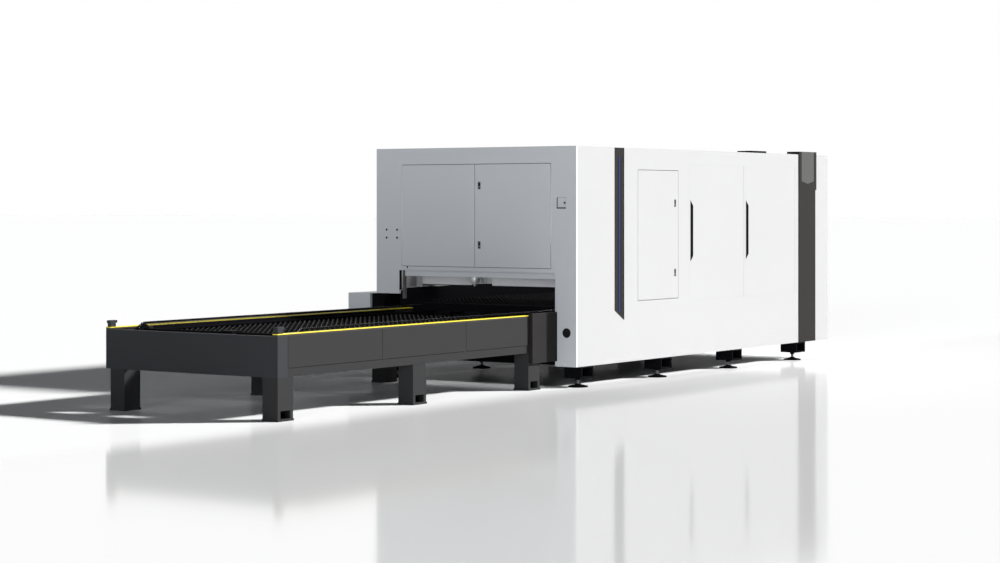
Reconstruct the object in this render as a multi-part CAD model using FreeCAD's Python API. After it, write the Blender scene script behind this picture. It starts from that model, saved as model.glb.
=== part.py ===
"""Fiber laser cutting machine with an enclosed working area and a two-pallet exchange table.

Millimetres. X runs along the machine: the exchange table stands at -X, the housing at +X.
Y runs across it: the side with the service doors faces -Y. Z is up and 0 is the floor.
"""
import FreeCAD, Part
import math
import os

V = FreeCAD.Vector
X_DIR, Y_DIR, Z_DIR = V(1, 0, 0), V(0, 1, 0), V(0, 0, 1)

# ---- driving dimensions: the housing ----
HOUSING_X0, HOUSING_X1 = -600, 4410
HOUSING_Y0, HOUSING_Y1 = -1280, 950
HOUSING_Z0, HOUSING_Z1 = 190, 2155
SHEET = 3                     # thickness of the wall sheets
WALL_DEPTH = 23               # a wall with its folded edges, outer face to frame
POST_DEPTH = 30               # frame tube, across the wall
POST_WIDTH = 50               # frame tube, along the wall
DOOR_GAP = 5                  # seam round a flush door
DOOR_DEPTH = 21               # folded edge of a door leaf
STOP_LAP = 15                 # how far the frame reaches behind a door

# pallet opening in the end wall
ENTRY_Y0, ENTRY_Y1 = -1057, 682
ENTRY_TOP = 1020
FAR_COLUMN_Z0 = 800           # lower end of the end wall beside the far edge of the opening

# door openings: along the wall, then up
END_DOORS = (-1013, 654, 1057, 2005)
END_SEAM_Y = -180
SERVICE_DOOR = (460, 1212, 740, 1957)
FRONT_DOORS = ((1417, 2522, 700, 2020), (2542, 3647, 700, 2020))

# hinges: pins that stay on the frame, barrels on the leaves
HINGE_DEPTH = 8
HINGE_INSET = 12
HINGE_PIN_R = 4.0
HINGE_BORE_R = 4.05
HINGE_BARREL_R = 7
HINGE_LENGTH = 60
HINGE_ARM = 7
HINGE_ARM_EDGE = 0.15         # arm beyond the pin, small so that the leaf swings past it
HINGE_ARM_BEVEL = 2.2         # cut off the arm's nose, which the leaf turns round
HINGE_ARM_TAPER = 0.9         # by this much each side is narrower at the frame
HINGE_SIDES = 8
HINGE_CLEAR = 26              # top and bottom folds end this far from the hinge edge
TURNING_GAP = 0.08            # between a shaft and the flats of its bearing

# latch paddles
LATCH_WIDTH, LATCH_HEIGHT = 21, 62
LATCH_POCKET = 14
PADDLE_PIN_DEPTH, PADDLE_PIN_DROP, PADDLE_PIN_R = 5, 6, 2
END_LATCH_Y = -230
END_LATCH_Z = (1807, 1264)
SERVICE_LATCH_X = 1149
SERVICE_LATCH_Z = (1645, 986)

# recessed handles of the front doors
HANDLE_X_OFFSET = 52
HANDLE_Z0, HANDLE_Z1 = 1092, 1667
HANDLE_WIDTH = 46
HANDLE_SLANT = 46
HANDLE_POCKET = 32
HANDLE_SHEET = 2.5
HANDLE_FIT = 0.2              # between the cup and the door's cut-out
HANDLE_FLANGE = 3             # by this much the flange reaches past the cut-out, behind the door
HANDLE_GRIP = 12

# near wall trim
ACCENT_X0, ACCENT_X1 = 51, 207
ACCENT_Z_LEFT, ACCENT_Z_RIGHT = 668, 580
LIGHT_X0, LIGHT_X1 = 101, 158
LIGHT_TOP = 2067
COLUMN_X0, COLUMN_X1 = 3725, 4103
COLUMN_PROUD = 10
HOOD_X1 = 4124
HOOD_Z0 = 1785
HOOD_RISE = 30
HOOD_REACH = 133
INSET_X0, INSET_X1 = 3781, 4072
INSET_SIDE_Z, INSET_TIP_Z = 1875, 1847

# suction duct on the far side
DUCT = (-597, 1900, 1030, 1290, 202, 795)
DUCT_SHEET = 3
DUCT_FLANGE = 30
DUCT_NECKS_X = (700, 1550)
DUCT_NECK = 300
DUCT_NECK_Z = (330, 490)

# recess with a button, cable port and bracket holes in the end wall
RECESS = (-1170, -1073, 1597, 1698)
RECESS_DEPTH = 12
BUTTON_Y, BUTTON_Z, BUTTON_R, BUTTON_TRAVEL = -1151, 1649, 8, 4
PORT_Y, PORT_Z, PORT_R, PORT_COLLAR = -1178, 491, 32, 4
PORT_DEPTH = 14
BRACKET_HOLE_Y = (709, 831)
BRACKET_HOLE_Z = (1322, 1397)
BRACKET_HOLE_R = 7

# entry flap
FLAP_X = -522
FLAP_Y0, FLAP_Y1 = -1052, 677
FLAP_Z0, FLAP_Z1 = 965, 1290
FLAP_THICKNESS = 18
FLAP_ROD_R = 7

# ---- driving dimensions: the bed ----
BED_X0, BED_X1 = -500, 4340
BED_NEAR_Y0, BED_NEAR_Y1 = -1220, -1070
BED_FAR_Y0, BED_FAR_Y1 = 740, 890
BED_TOP = 820
BED_WALL = 10
BED_CROSS_TOP = 300
OUTRIGGER_X0, OUTRIGGER_X1 = -570, -330
OUTRIGGER_Y1, OUTRIGGER_Z0 = 1025, 560
FOOT_X0, FOOT_PITCH, FEET_PER_SIDE = -413, 1397, 4
FOOT_NEAR_Y, FOOT_FAR_Y = -1180, 850
PAD_R, PAD_HEIGHT = 90, 18
STUB_WIDTH, STUB_LENGTH, STUB_Z0, STUB_WALL = 200, 185, 83, 14
SCREW_R = 15
FOOT_SCREW_TOP = 144
RAIL_NEAR_Y, RAIL_FAR_Y = -1155, 825
RAIL_WIDTH, RAIL_HEIGHT = 34, 28
RAIL_X0, RAIL_X1 = -420, 4260
RACK_NEAR_Y, RACK_FAR_Y = -1100, 770
RACK_SIZE = 25

# ---- driving dimensions: pallets and tracks ----
TABLE_Y = -155                # centre line of the table, the pallets and their tracks
UPPER_TRACK_Z = 631
LEVEL_DROP = 115              # height between the two tracks, and travel of the lift
PALLET_LENGTH = 3220
INNER_PALLET_X0 = -363
PALLET_TRAVEL = 3550
PALLET_HALF = 750
PALLET_BEAM = (40, 70)
PALLET_CLEAR = 8              # track to the underside of the pallet
END_BEAM = 60
PALLET_BAYS = 4
SLAT_REST = 48                # track to the underside of the slats
LEDGE = 8
WHEEL_R, WHEEL_WIDTH = 31.7, 28
WHEEL_INSET = 250
WHEEL_SIDES = 18
AXLE_R = 9
SLATS = 24
SLAT_THICKNESS = 4
SLAT_HEIGHT = 56
SLAT_TEETH = 4
TOOTH_DEPTH = 18
TRACK_IN, TRACK_OUT = 752, 790
TRACK_THICKNESS = 12
BED_TRACK_X0, BED_TRACK_X1 = -724, 2950
BRACKET = 5                   # thickness of a track bracket's upright
BRACKETS_X = (-480, 300, 900, 1500, 2100, 2700)

# ---- driving dimensions: the exchange table ----
TABLE_X0, TABLE_X1 = -4405, -1009
TABLE_HALF = 890
TABLE_Z0, TABLE_Z1 = 330, 643
TABLE_RAIL_TOP = 395          # top of the visible bottom rail
TOP_RAIL_HEIGHT = 33
RAIL_TUBE = 40
PANEL = 5
PANEL_SEAMS_X = (-4284, -3111, -1954)
SEAM = 4
STRIP_WIDTH, STRIP_HEIGHT = 50, 18
TUBE = 5                      # wall of the square tubes
TRAY_X0 = -3950
TRAY_WIDTH, TRAY_Z0, TRAY_Z1, TRAY_SHEET = 45, 625, 672, 3
NEAR_STRIP_X1 = -1009
FAR_STRIP_X1 = -383
LEG_LENGTH, LEG_WIDTH, LEG_WALL = 180, 150, 8
LEG_X0 = (-4405, -2704, -1012)
LEG_NEAR_Y0 = -1045
LEG_FAR_Y1 = 685
BASE_PLATE = 15
LEG_HOLE_LENGTH, LEG_HOLE_HEIGHT = 116, 64
STOP_X0 = -4400
STOP_LENGTH, STOP_WIDTH, STOP_HEIGHT = 78, 40, 52
LIFT_X0, LIFT_X1 = -3960, -735
LIFT_PLATE = 10
LIFT_Z0, LIFT_Z1 = 450, 655
CYLINDER_OFFSET = 795
CYLINDER_SIZE, ROD_R = 44, 13
CYLINDER_TOP = 430
CAP_HALF = 15                 # half width of the plate on a lift rod
LIFT_ARM = 28                 # height of the arms that reach over the shaft's side
CHAIN_OFFSET = 822
CHAIN_WIDTH, CHAIN_HALF_HEIGHT = 21, 8
SPROCKET_PITCH_R = 65.1       # sixteen teeth on a 25.4 mm chain
SPROCKET_TEETH = 16
CHAIN_ARC = 8                 # straight pieces in each half turn of a chain
SHAFT_X, SHAFT_Z, SHAFT_R = -4033, 617, 20
SHAFT_HALF = 849.5
BEARING_IN, BEARING_OUT = 838, 850
TAIL_AXLE_R = 12
TAIL_X = 20
COVER_X0, COVER_X1 = -999, -603
COVER_Y0 = -1080
COVER_Z0, COVER_Z1 = 238, 676

# ---- driving dimensions: the motion system ----
GANTRY_X = 60                 # middle of the crossbeam at rest
BEAM_DEPTH, BEAM_HEIGHT, BEAM_Z0 = 200, 230, 900
GANTRY_END = (300, 120)
BEAM_Y0, BEAM_Y1 = -1190, 860
PINION_R, PINION_WIDTH, PINION_TEETH = 24, 25, 10
PINION_SHAFT_R = 8
MOTOR_R = 42
CARRIAGE_Y = 105
CARRIAGE_WIDTH = 250
HEAD_X = -150
NOZZLE_Z = 862
PINION_Z = BED_TOP + RACK_SIZE + PINION_R + 2.5
Y_PINION_Z = BEAM_Z0 + BEAM_HEIGHT + RACK_SIZE + PINION_R + 2.5
SCREW_Z_X, SCREW_Z_R = HEAD_X + 48, 8
PLEAT = 60
PLEAT_DEPTH = 28
PLEAT_THICKNESS = 4


# ---- small helpers ----
def box(x0, x1, y0, y1, z0, z1):
    """A block between two corners."""
    return Part.makeBox(x1 - x0, y1 - y0, z1 - z0, V(x0, y0, z0))


def ring(radius, sides, height=0.0):
    """The corners of a regular polygon about Z."""
    steps = (2 * math.pi * (i + 0.5) / sides for i in range(sides))
    return [V(radius * math.cos(a), radius * math.sin(a), height) for a in steps]


def rod(radius, length, base, direction, sides=12):
    """A bar that starts at base and runs along direction, with its corners on the radius."""
    corners = ring(radius, sides)
    shape = Part.Face(Part.makePolygon(corners + corners[:1])).extrude(V(0, 0, length))
    shape.Placement = FreeCAD.Placement(V(*base), FreeCAD.Rotation(Z_DIR, direction))
    return shape


def pin(radius, length, base, direction):
    """A round shaft or pin that something turns on."""
    return Part.makeCylinder(radius, length, V(*base), direction)


def bore(radius, length, base, direction, sides=8):
    """The cutter of a bearing hole, with its flats on the radius, so that a rod turns in it."""
    return rod(radius / math.cos(math.pi / sides), length, base, direction, sides)


def prism(points, along):
    """A straight prism of a closed outline."""
    corners = [V(*p) for p in points]
    return Part.Face(Part.makePolygon(corners + corners[:1])).extrude(V(*along))


def turned(profile, base, direction=Z_DIR, sides=16):
    """A turned piece: the closed (radius, height) profile is carried round a line through base."""
    rings = [ring(r, sides, h) if r > 0 else None for r, h in profile]
    faces = []
    for i, (r, h) in enumerate(profile):
        k = (i + 1) % len(profile)
        low, high = rings[i], rings[k]
        if low is None and high is None:
            continue
        for j in range(sides):
            n = (j + 1) % sides
            near = [low[j], low[n]] if low else [V(0, 0, h)]
            far = [high[n], high[j]] if high else [V(0, 0, profile[k][1])]
            corners = near + far
            faces.append(Part.Face(Part.makePolygon(corners + corners[:1])))
    shape = Part.Solid(Part.Shell(faces)).removeSplitter()
    if shape.Volume < 0:
        shape.reverse()
    shape.Placement = FreeCAD.Placement(V(*base), FreeCAD.Rotation(Z_DIR, direction))
    return shape


def fused(shapes):
    """The shapes as one solid, with flush faces joined."""
    shapes = list(shapes)
    return shapes[0].multiFuse(shapes[1:]).removeSplitter() if len(shapes) > 1 else shapes[0]


def tray(x0, x1, y0, y1, z0, z1, wall):
    """A folded sheet tray, open at the top."""
    inner = box(x0 + wall, x1 - wall, y0 + wall, y1 - wall, z0 + wall, z1 + 1)
    return box(x0, x1, y0, y1, z0, z1).cut(inner)


def tube(x0, x1, y0, y1, z0, z1, along="x", wall=5):
    """A rectangular tube, open at both ends."""
    outer = box(x0, x1, y0, y1, z0, z1)
    if along == "x":
        return outer.cut(box(x0 - 1, x1 + 1, y0 + wall, y1 - wall, z0 + wall, z1 - wall))
    if along == "y":
        return outer.cut(box(x0 + wall, x1 - wall, y0 - 1, y1 + 1, z0 + wall, z1 - wall))
    return outer.cut(box(x0 + wall, x1 - wall, y0 + wall, y1 - wall, z0 - 1, z1 + 1))


def export(name, *solids):
    """Write one node. Separate pieces of one node stay separate solids."""
    whole = solids[0] if len(solids) == 1 else Part.makeCompound(list(solids))
    whole.exportStep(os.path.join("parts", name + ".step"))


class WallFrame:
    """Places shapes that are drawn flat on a wall: s along the wall, z up, d inwards."""

    def __init__(self, face, inward, along):
        self.face, self.inward, self.along = face, inward, along

    def point(self, s, d, z):
        """The point s along the wall, d behind its outer face and z above the floor."""
        on_wall = V(self.face, s, z) if self.along == "y" else V(s, self.face, z)
        return on_wall + (X_DIR if self.along == "y" else Y_DIR) * (self.inward * d)

    def block(self, s0, s1, d0, d1, z0, z1):
        """A block given along, behind and up the wall."""
        a, b = self.point(s0, d0, z0), self.point(s1, d1, z1)
        return box(min(a.x, b.x), max(a.x, b.x), min(a.y, b.y), max(a.y, b.y), z0, z1)

    def plate(self, outline, d0, d1):
        """A plate of the (s, z) outline between two depths."""
        corners = [tuple(self.point(s, d0, z)) for s, z in outline]
        return prism(corners, tuple(self.point(0, d1, 0) - self.point(0, d0, 0)))

    def hole(self, s, z, radius, d0=-1, d1=WALL_DEPTH + 1):
        """A round cutter through the wall."""
        start = self.point(s, d0, z)
        return Part.makeCylinder(radius, d1 - d0, start, self.point(0, 1, 0) - self.point(0, 0, 0))

    def frame(self, s0, s1, z0, z1, wall, d0, d1):
        """A rectangular rim inside the given outline."""
        outer = self.block(s0, s1, d0, d1, z0, z1)
        return outer.cut(self.block(s0 + wall, s1 - wall, d0 - 1, d1 + 1, z0 + wall, z1 - wall))


END_WALL = WallFrame(HOUSING_X0, 1, "y")
NEAR_WALL = WallFrame(HOUSING_Y0, 1, "x")
FAR_WALL = WallFrame(HOUSING_Y1, -1, "x")
REAR_WALL = WallFrame(HOUSING_X1, -1, "y")
WALL_TOP = HOUSING_Z1 - SHEET


# ---- housing ----
def hinge_heights(opening):
    """The heights of a door's two hinges."""
    return opening[2] + 160, opening[3] - 160


def hinge_s(opening, at_high_end):
    """Where the hinge pins stand along the wall."""
    inset = DOOR_GAP + HINGE_INSET
    return opening[1] - inset if at_high_end else opening[0] + inset


def hinge_arm(wall, s, z0):
    """One arm of a hinge: a bevelled nose round the pin, and sides that draw in towards the frame."""
    half = HINGE_PIN_R + HINGE_ARM_EDGE
    root = half - HINGE_ARM_TAPER
    nose = half - HINGE_ARM_BEVEL
    tip = HINGE_DEPTH - half
    outline = [(-root, WALL_DEPTH), (-half, tip + HINGE_ARM_BEVEL), (-nose, tip),
               (nose, tip), (half, tip + HINGE_ARM_BEVEL), (root, WALL_DEPTH)]
    return prism([wall.point(s + across, depth, z0) for across, depth in outline], Z_DIR * HINGE_ARM)


def hinge_pins(wall, opening, at_high_end):
    """The pins of one door, each between two arms that reach out of the frame."""
    s = hinge_s(opening, at_high_end)
    for make, z in zip((rod, pin), hinge_heights(opening)):
        base = wall.point(s, HINGE_DEPTH, z - HINGE_LENGTH / 2)
        ends = (z - HINGE_LENGTH / 2 - HINGE_ARM, z + HINGE_LENGTH / 2)
        yield fused([make(HINGE_PIN_R, HINGE_LENGTH, base, Z_DIR)] + [hinge_arm(wall, s, z0) for z0 in ends])


def housing_frame():
    """The tube skeleton. Each tube is a solid of its own, and a hinge's pin is one with its arms."""
    inner = WALL_DEPTH + POST_DEPTH
    x0, x1 = HOUSING_X0 + inner, HOUSING_X1 - inner
    y0, y1 = HOUSING_Y0 + WALL_DEPTH, HOUSING_Y1 - WALL_DEPTH
    foot, top = HOUSING_Z0 + SHEET, WALL_TOP - WALL_DEPTH
    rail = top - POST_WIDTH
    depth = (WALL_DEPTH, inner)
    lap = POST_WIDTH - STOP_LAP
    bars = []
    # end frame: corner posts, a header over the pallet opening, jambs and a post at the seam
    a0, a1, b0, b1 = END_DOORS
    corners = (y0, foot, y0 + 40), (y1 - 40, FAR_COLUMN_Z0 + SHEET, y1)
    for s0, low, s1 in corners:
        bars.append(END_WALL.block(s0, s1, *depth, low, top))
    header = b0 - lap
    bars.append(END_WALL.block(y0 + 40, y1 - 40, *depth, header, header + POST_WIDTH))
    bars.append(END_WALL.block(y0 + 40, y1 - 40, *depth, b1 - STOP_LAP, b1 + lap))
    for s in (a0 - lap, END_SEAM_Y - POST_WIDTH / 2, a1 - STOP_LAP):
        bars.append(END_WALL.block(s, s + POST_WIDTH, *depth, header + POST_WIDTH, b1 - STOP_LAP))
    bars.append(END_WALL.block(y0 + 40, y1 - 40, *depth, rail, top))
    # side frames: posts beside each door, and rails below and above it
    posts = sorted(s for door in (SERVICE_DOOR,) + FRONT_DOORS for s in (door[0] - lap, door[1] - STOP_LAP))
    for wall in (NEAR_WALL, FAR_WALL):
        bars.append(wall.block(x0, x1, *depth, rail, top))
        bars += [wall.block(s, s + POST_WIDTH, *depth, foot, rail) for s in frame_posts(posts)]
    for door in (SERVICE_DOOR,) + FRONT_DOORS:
        between = (door[0] - lap + POST_WIDTH, door[1] - STOP_LAP)
        bars.append(NEAR_WALL.block(*between, *depth, door[2] - lap, door[2] + STOP_LAP))
        bars.append(NEAR_WALL.block(*between, *depth, door[3] - STOP_LAP, door[3] + lap))
    # rear frame and roof
    for y in (y0, y1 - POST_DEPTH):
        bars.append(box(x1, x1 + POST_DEPTH, y, y + POST_DEPTH, foot, top))
    bars.append(box(x1, x1 + POST_DEPTH, y0 + POST_DEPTH, y1 - POST_DEPTH, rail, top))
    for door in (SERVICE_DOOR, FRONT_DOORS[1]):
        bars.append(box(door[0], door[0] + POST_WIDTH, y0 + POST_DEPTH, y1 - POST_DEPTH, rail, top))
    for wall, door, high in all_hinges():
        bars += hinge_pins(wall, door, high)
    return bars


def frame_posts(posts):
    """The posts' places, with two that would overlap drawn as one."""
    kept = []
    for s in posts:
        if not kept or s >= kept[-1] + POST_WIDTH:
            kept.append(s)
    return kept


def all_hinges():
    """Every hinged opening: its wall, its outline and whether the hinges are at the high end."""
    return ((END_WALL, END_DOORS, True), (END_WALL, END_DOORS, False), (NEAR_WALL, SERVICE_DOOR, False),
            (NEAR_WALL, FRONT_DOORS[0], True), (NEAR_WALL, FRONT_DOORS[1], True))


def opening_lip(wall, opening):
    """The folded lip round an opening, and the hole to cut for it."""
    s0, s1, z0, z1 = opening
    lip = wall.frame(s0 - SHEET, s1 + SHEET, z0 - SHEET, z1 + SHEET, SHEET, 0, WALL_DEPTH)
    hole = wall.block(s0, s1, -1, WALL_DEPTH + 1, z0, z1)
    return lip, hole


def end_wall():
    """The wall that the pallets pass through, with its recess, port and holes."""
    y0, y1 = HOUSING_Y0, HOUSING_Y1
    outline = [(y0, HOUSING_Z0), (ENTRY_Y0, HOUSING_Z0), (ENTRY_Y0, ENTRY_TOP), (ENTRY_Y1, ENTRY_TOP),
               (ENTRY_Y1, FAR_COLUMN_Z0), (y1, FAR_COLUMN_Z0), (y1, WALL_TOP), (y0, WALL_TOP)]
    wall = END_WALL.plate(outline, 0, SHEET)
    lip, hole = opening_lip(END_WALL, END_DOORS)
    edges = [
        END_WALL.block(y0, y0 + SHEET, 0, WALL_DEPTH, HOUSING_Z0, WALL_TOP),
        END_WALL.block(y1 - SHEET, y1, 0, WALL_DEPTH, FAR_COLUMN_Z0, WALL_TOP),
        END_WALL.block(ENTRY_Y0 - SHEET, ENTRY_Y0, 0, WALL_DEPTH, HOUSING_Z0, ENTRY_TOP + SHEET),
        END_WALL.block(ENTRY_Y1, ENTRY_Y1 + SHEET, 0, WALL_DEPTH, FAR_COLUMN_Z0, ENTRY_TOP + SHEET),
        END_WALL.block(ENTRY_Y0, ENTRY_Y1, 0, WALL_DEPTH, ENTRY_TOP, ENTRY_TOP + SHEET),
        END_WALL.block(ENTRY_Y1, y1, 0, WALL_DEPTH, FAR_COLUMN_Z0, FAR_COLUMN_Z0 + SHEET),
    ]
    a, b, z0, z1 = RECESS
    pocket = END_WALL.block(a - SHEET, b + SHEET, 0, RECESS_DEPTH + SHEET, z0 - SHEET, z1 + SHEET)
    collar = rod(PORT_R + PORT_COLLAR, PORT_DEPTH, END_WALL.point(PORT_Y, 0, PORT_Z), X_DIR, 16)
    wall = fused([wall, lip, pocket, collar] + edges).cut(hole)
    cutters = [END_WALL.block(a, b, -1, RECESS_DEPTH, z0, z1)]
    stem = END_WALL.point(BUTTON_Y, 0, BUTTON_Z)
    cutters.append(bore(BUTTON_R - 3, 40, stem, X_DIR, 12))
    cutters.append(END_WALL.hole(PORT_Y, PORT_Z, PORT_R))
    cutters += [END_WALL.hole(y, z, BRACKET_HOLE_R) for y in BRACKET_HOLE_Y for z in BRACKET_HOLE_Z]
    return wall.cut(Part.makeCompound(cutters))


def near_wall():
    """The side wall with the service door and the two front doors."""
    x0, x1 = HOUSING_X0 + WALL_DEPTH, HOUSING_X1 - WALL_DEPTH
    wall = NEAR_WALL.block(x0, x1, 0, SHEET, HOUSING_Z0, WALL_TOP)
    rims = [wall, NEAR_WALL.frame(x0, x1, HOUSING_Z0, WALL_TOP, SHEET, 0, WALL_DEPTH)]
    holes = []
    for opening in (SERVICE_DOOR,) + FRONT_DOORS:
        lip, hole = opening_lip(NEAR_WALL, opening)
        rims.append(lip)
        holes.append(hole)
    return fused(rims).cut(Part.makeCompound(holes))


def plain_wall(wall, s0, s1):
    """A closed wall of folded sheet."""
    sheet = wall.block(s0, s1, 0, SHEET, HOUSING_Z0, WALL_TOP)
    return fused([sheet, wall.frame(s0, s1, HOUSING_Z0, WALL_TOP, SHEET, 0, WALL_DEPTH)])


def far_wall():
    """The far side wall, cut back over the bed's outrigger at the pallet opening."""
    wall = plain_wall(FAR_WALL, HOUSING_X0 + WALL_DEPTH, HOUSING_X1 - WALL_DEPTH)
    wall = wall.cut(box(HOUSING_X0, OUTRIGGER_X1 + 5, 700, HOUSING_Y1 + 1, 0, FAR_COLUMN_Z0))
    return wall.cut(Part.makeCompound([neck(x, 0, BED_FAR_Y1, HOUSING_Y1 + 1) for x in DUCT_NECKS_X]))


def roof():
    """The roof sheet, which lies on top of the walls."""
    return box(HOUSING_X0, HOUSING_X1, HOUSING_Y0, HOUSING_Y1, WALL_TOP, HOUSING_Z1)


def leaf_edges(opening):
    """The edges of a leaf, one gap inside its opening."""
    s0, s1, z0, z1 = opening
    return s0 + DOOR_GAP, s1 - DOOR_GAP, z0 + DOOR_GAP, z1 - DOOR_GAP


def with_barrels(wall, opening, hinge_high, sheets):
    """The sheets of a leaf as one solid, with its hinge barrels."""
    s = hinge_s(opening, hinge_high)
    length = HINGE_LENGTH - 1
    barrels = []
    bores = []
    for z in hinge_heights(opening):
        base = wall.point(s, HINGE_DEPTH, z - length / 2)
        barrels.append(rod(HINGE_BARREL_R, length, base, Z_DIR, HINGE_SIDES))
        bores.append(bore(HINGE_BORE_R, length + 4, base - Z_DIR * 2, Z_DIR, HINGE_SIDES))
    return fused(sheets + barrels).cut(Part.makeCompound(bores))


def door_leaf(wall, opening, hinge_high):
    """A flush leaf: a face with folded edges on three sides and barrels on the hinge side."""
    s0, s1, z0, z1 = leaf_edges(opening)
    face = wall.block(s0, s1, 0, SHEET, z0, z1)
    free = (s0, s0 + SHEET) if hinge_high else (s1 - SHEET, s1)
    fold = (s0, s1 - HINGE_CLEAR) if hinge_high else (s0 + HINGE_CLEAR, s1)
    folds = [wall.block(*free, 0, DOOR_DEPTH, z0, z1)]
    folds += [wall.block(*fold, 0, DOOR_DEPTH, z, z + SHEET) for z in (z0, z1 - SHEET)]
    return with_barrels(wall, opening, hinge_high, [face] + folds)


def split_at_seam(opening, seam):
    """Two leaves' openings from one, so that a full seam stays between them."""
    s0, s1, z0, z1 = opening
    half = DOOR_GAP / 2
    return (s0, seam + half, z0, z1), (seam - half, s1, z0, z1)


def latch_pocket(wall, s, z):
    """The pocket that a paddle latch sits in, and the hole to cut for it."""
    w, h = LATCH_WIDTH / 2, LATCH_HEIGHT / 2
    shell = wall.block(s - w - 2, s + w + 2, 0, LATCH_POCKET + 2, z - h - 2, z + h + 2)
    cavity = wall.block(s - w, s + w, -1, LATCH_POCKET, z - h, z + h)
    top = wall.point(s - w - 3, PADDLE_PIN_DEPTH, z + h - PADDLE_PIN_DROP)
    side = wall.point(1, 0, 0) - wall.point(0, 0, 0)
    return shell, cavity.fuse(bore(PADDLE_PIN_R + 0.05, LATCH_WIDTH + 6, top, side, 8))


def latch_paddle(wall, s, z):
    """The paddle of a latch, on a pivot through the cheeks of its pocket."""
    w, h = LATCH_WIDTH / 2 - 1, LATCH_HEIGHT / 2
    pivot_z = z + h - PADDLE_PIN_DROP
    plate = wall.block(s - w, s + w, 0.5, 4.5, z - h + 1.5, pivot_z + 3)
    boss = wall.block(s - w, s + w, 0.5, PADDLE_PIN_DEPTH + 3, pivot_z - 3, pivot_z + 3)
    side = wall.point(1, 0, 0) - wall.point(0, 0, 0)
    start = wall.point(s - LATCH_WIDTH / 2 - 1.5, PADDLE_PIN_DEPTH, pivot_z)
    pivot = rod(PADDLE_PIN_R, LATCH_WIDTH + 3, start, side, 8)
    lip = wall.block(s - w, s + w, 4.5, 8, z - h + 1.5, z - h + 4.5)
    return fused([plate, boss, pivot, lip])


def with_latches(leaf, wall, s, heights):
    """The leaf with a pocket for each of its latches."""
    for z in heights:
        shell, cavity = latch_pocket(wall, s, z)
        leaf = leaf.fuse(shell).cut(cavity)
    return leaf.removeSplitter()


def handle_outline(opening, grow=0.0):
    """A recessed handle's outline: upright, with both ends slanted inwards. It is offset outwards by grow."""
    s0 = opening[0] + HANDLE_X_OFFSET - grow - HANDLE_WIDTH / 2
    s1 = s0 + HANDLE_WIDTH + 2 * grow
    slope = HANDLE_SLANT / HANDLE_WIDTH
    sharp = grow * (math.hypot(1, slope) + slope)
    blunt = grow * (math.hypot(1, slope) - slope)
    return [(s0, HANDLE_Z0 - sharp), (s1, HANDLE_Z0 + HANDLE_SLANT - blunt),
            (s1, HANDLE_Z1 - HANDLE_SLANT + blunt), (s0, HANDLE_Z1 + sharp)]


def front_door(opening):
    """A front door of welded sheets: a broad one with the hinges, and narrow ones round the cut-out."""
    s0, s1, z0, z1 = leaf_edges(opening)
    low_left, low_right, high_right, high_left = handle_outline(opening)
    left, right = low_left[0], low_right[0]
    broad = NEAR_WALL.block(right, s1, 0, SHEET, z0, z1)
    yield with_barrels(NEAR_WALL, opening, True, [broad])
    yield NEAR_WALL.block(s0, left, 0, SHEET, z0, z1)
    yield NEAR_WALL.plate([(left, z0), (right, z0), low_right, low_left], 0, SHEET)
    yield NEAR_WALL.plate([high_left, high_right, (right, z1), (left, z1)], 0, SHEET)
    yield NEAR_WALL.block(s0, s0 + SHEET, SHEET, DOOR_DEPTH, z0, z1)
    for z in (z0, z1 - SHEET):
        yield NEAR_WALL.block(s0 + SHEET, s1 - HINGE_CLEAR, SHEET, DOOR_DEPTH, z, z + SHEET)


def ring_sheets(outer, inner, d0, d1):
    """Four mitred sheets of the near wall between two outlines."""
    for i in range(4):
        k = (i + 1) % 4
        yield NEAR_WALL.plate([outer[i], outer[k], inner[k], inner[i]], d0, d1)


def door_handle(opening):
    """A handle cup of welded sheets in the hole of a front door, with a grip lip and a rear flange."""
    outside = handle_outline(opening, -HANDLE_FIT)
    inside = handle_outline(opening, -HANDLE_SHEET)
    floor = HANDLE_POCKET - HANDLE_SHEET
    yield NEAR_WALL.plate(outside, floor, HANDLE_POCKET)
    yield from ring_sheets(outside, inside, 0, floor)
    yield from ring_sheets(handle_outline(opening, HANDLE_FLANGE), outside, SHEET, SHEET + HANDLE_SHEET)
    s0 = opening[0] + HANDLE_X_OFFSET - HANDLE_WIDTH / 2
    yield NEAR_WALL.block(s0 + HANDLE_SHEET, s0 + HANDLE_GRIP, 2, 5, HANDLE_Z0 + 60, HANDLE_Z1 - 60)


def accent_strip():
    """The dark strip of the near wall, slanted at its foot, with a groove for the light."""
    bottom = [(ACCENT_X0, ACCENT_Z_LEFT), (ACCENT_X1, ACCENT_Z_RIGHT)]
    strip = NEAR_WALL.plate(bottom + [(ACCENT_X1, WALL_TOP), (ACCENT_X0, WALL_TOP)], -4, 0)
    return strip.cut(light_outline(-5, -1))


def light_outline(d0, d1):
    """The lens of the light: its foot runs parallel with the strip's slanted end."""
    fall = (ACCENT_Z_RIGHT - ACCENT_Z_LEFT) / (ACCENT_X1 - ACCENT_X0)
    margin = 26
    foot = [(x, ACCENT_Z_LEFT + fall * (x - ACCENT_X0) + margin) for x in (LIGHT_X0, LIGHT_X1)]
    return NEAR_WALL.plate(foot + [(LIGHT_X1, LIGHT_TOP), (LIGHT_X0, LIGHT_TOP)], d0, d1)


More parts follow.
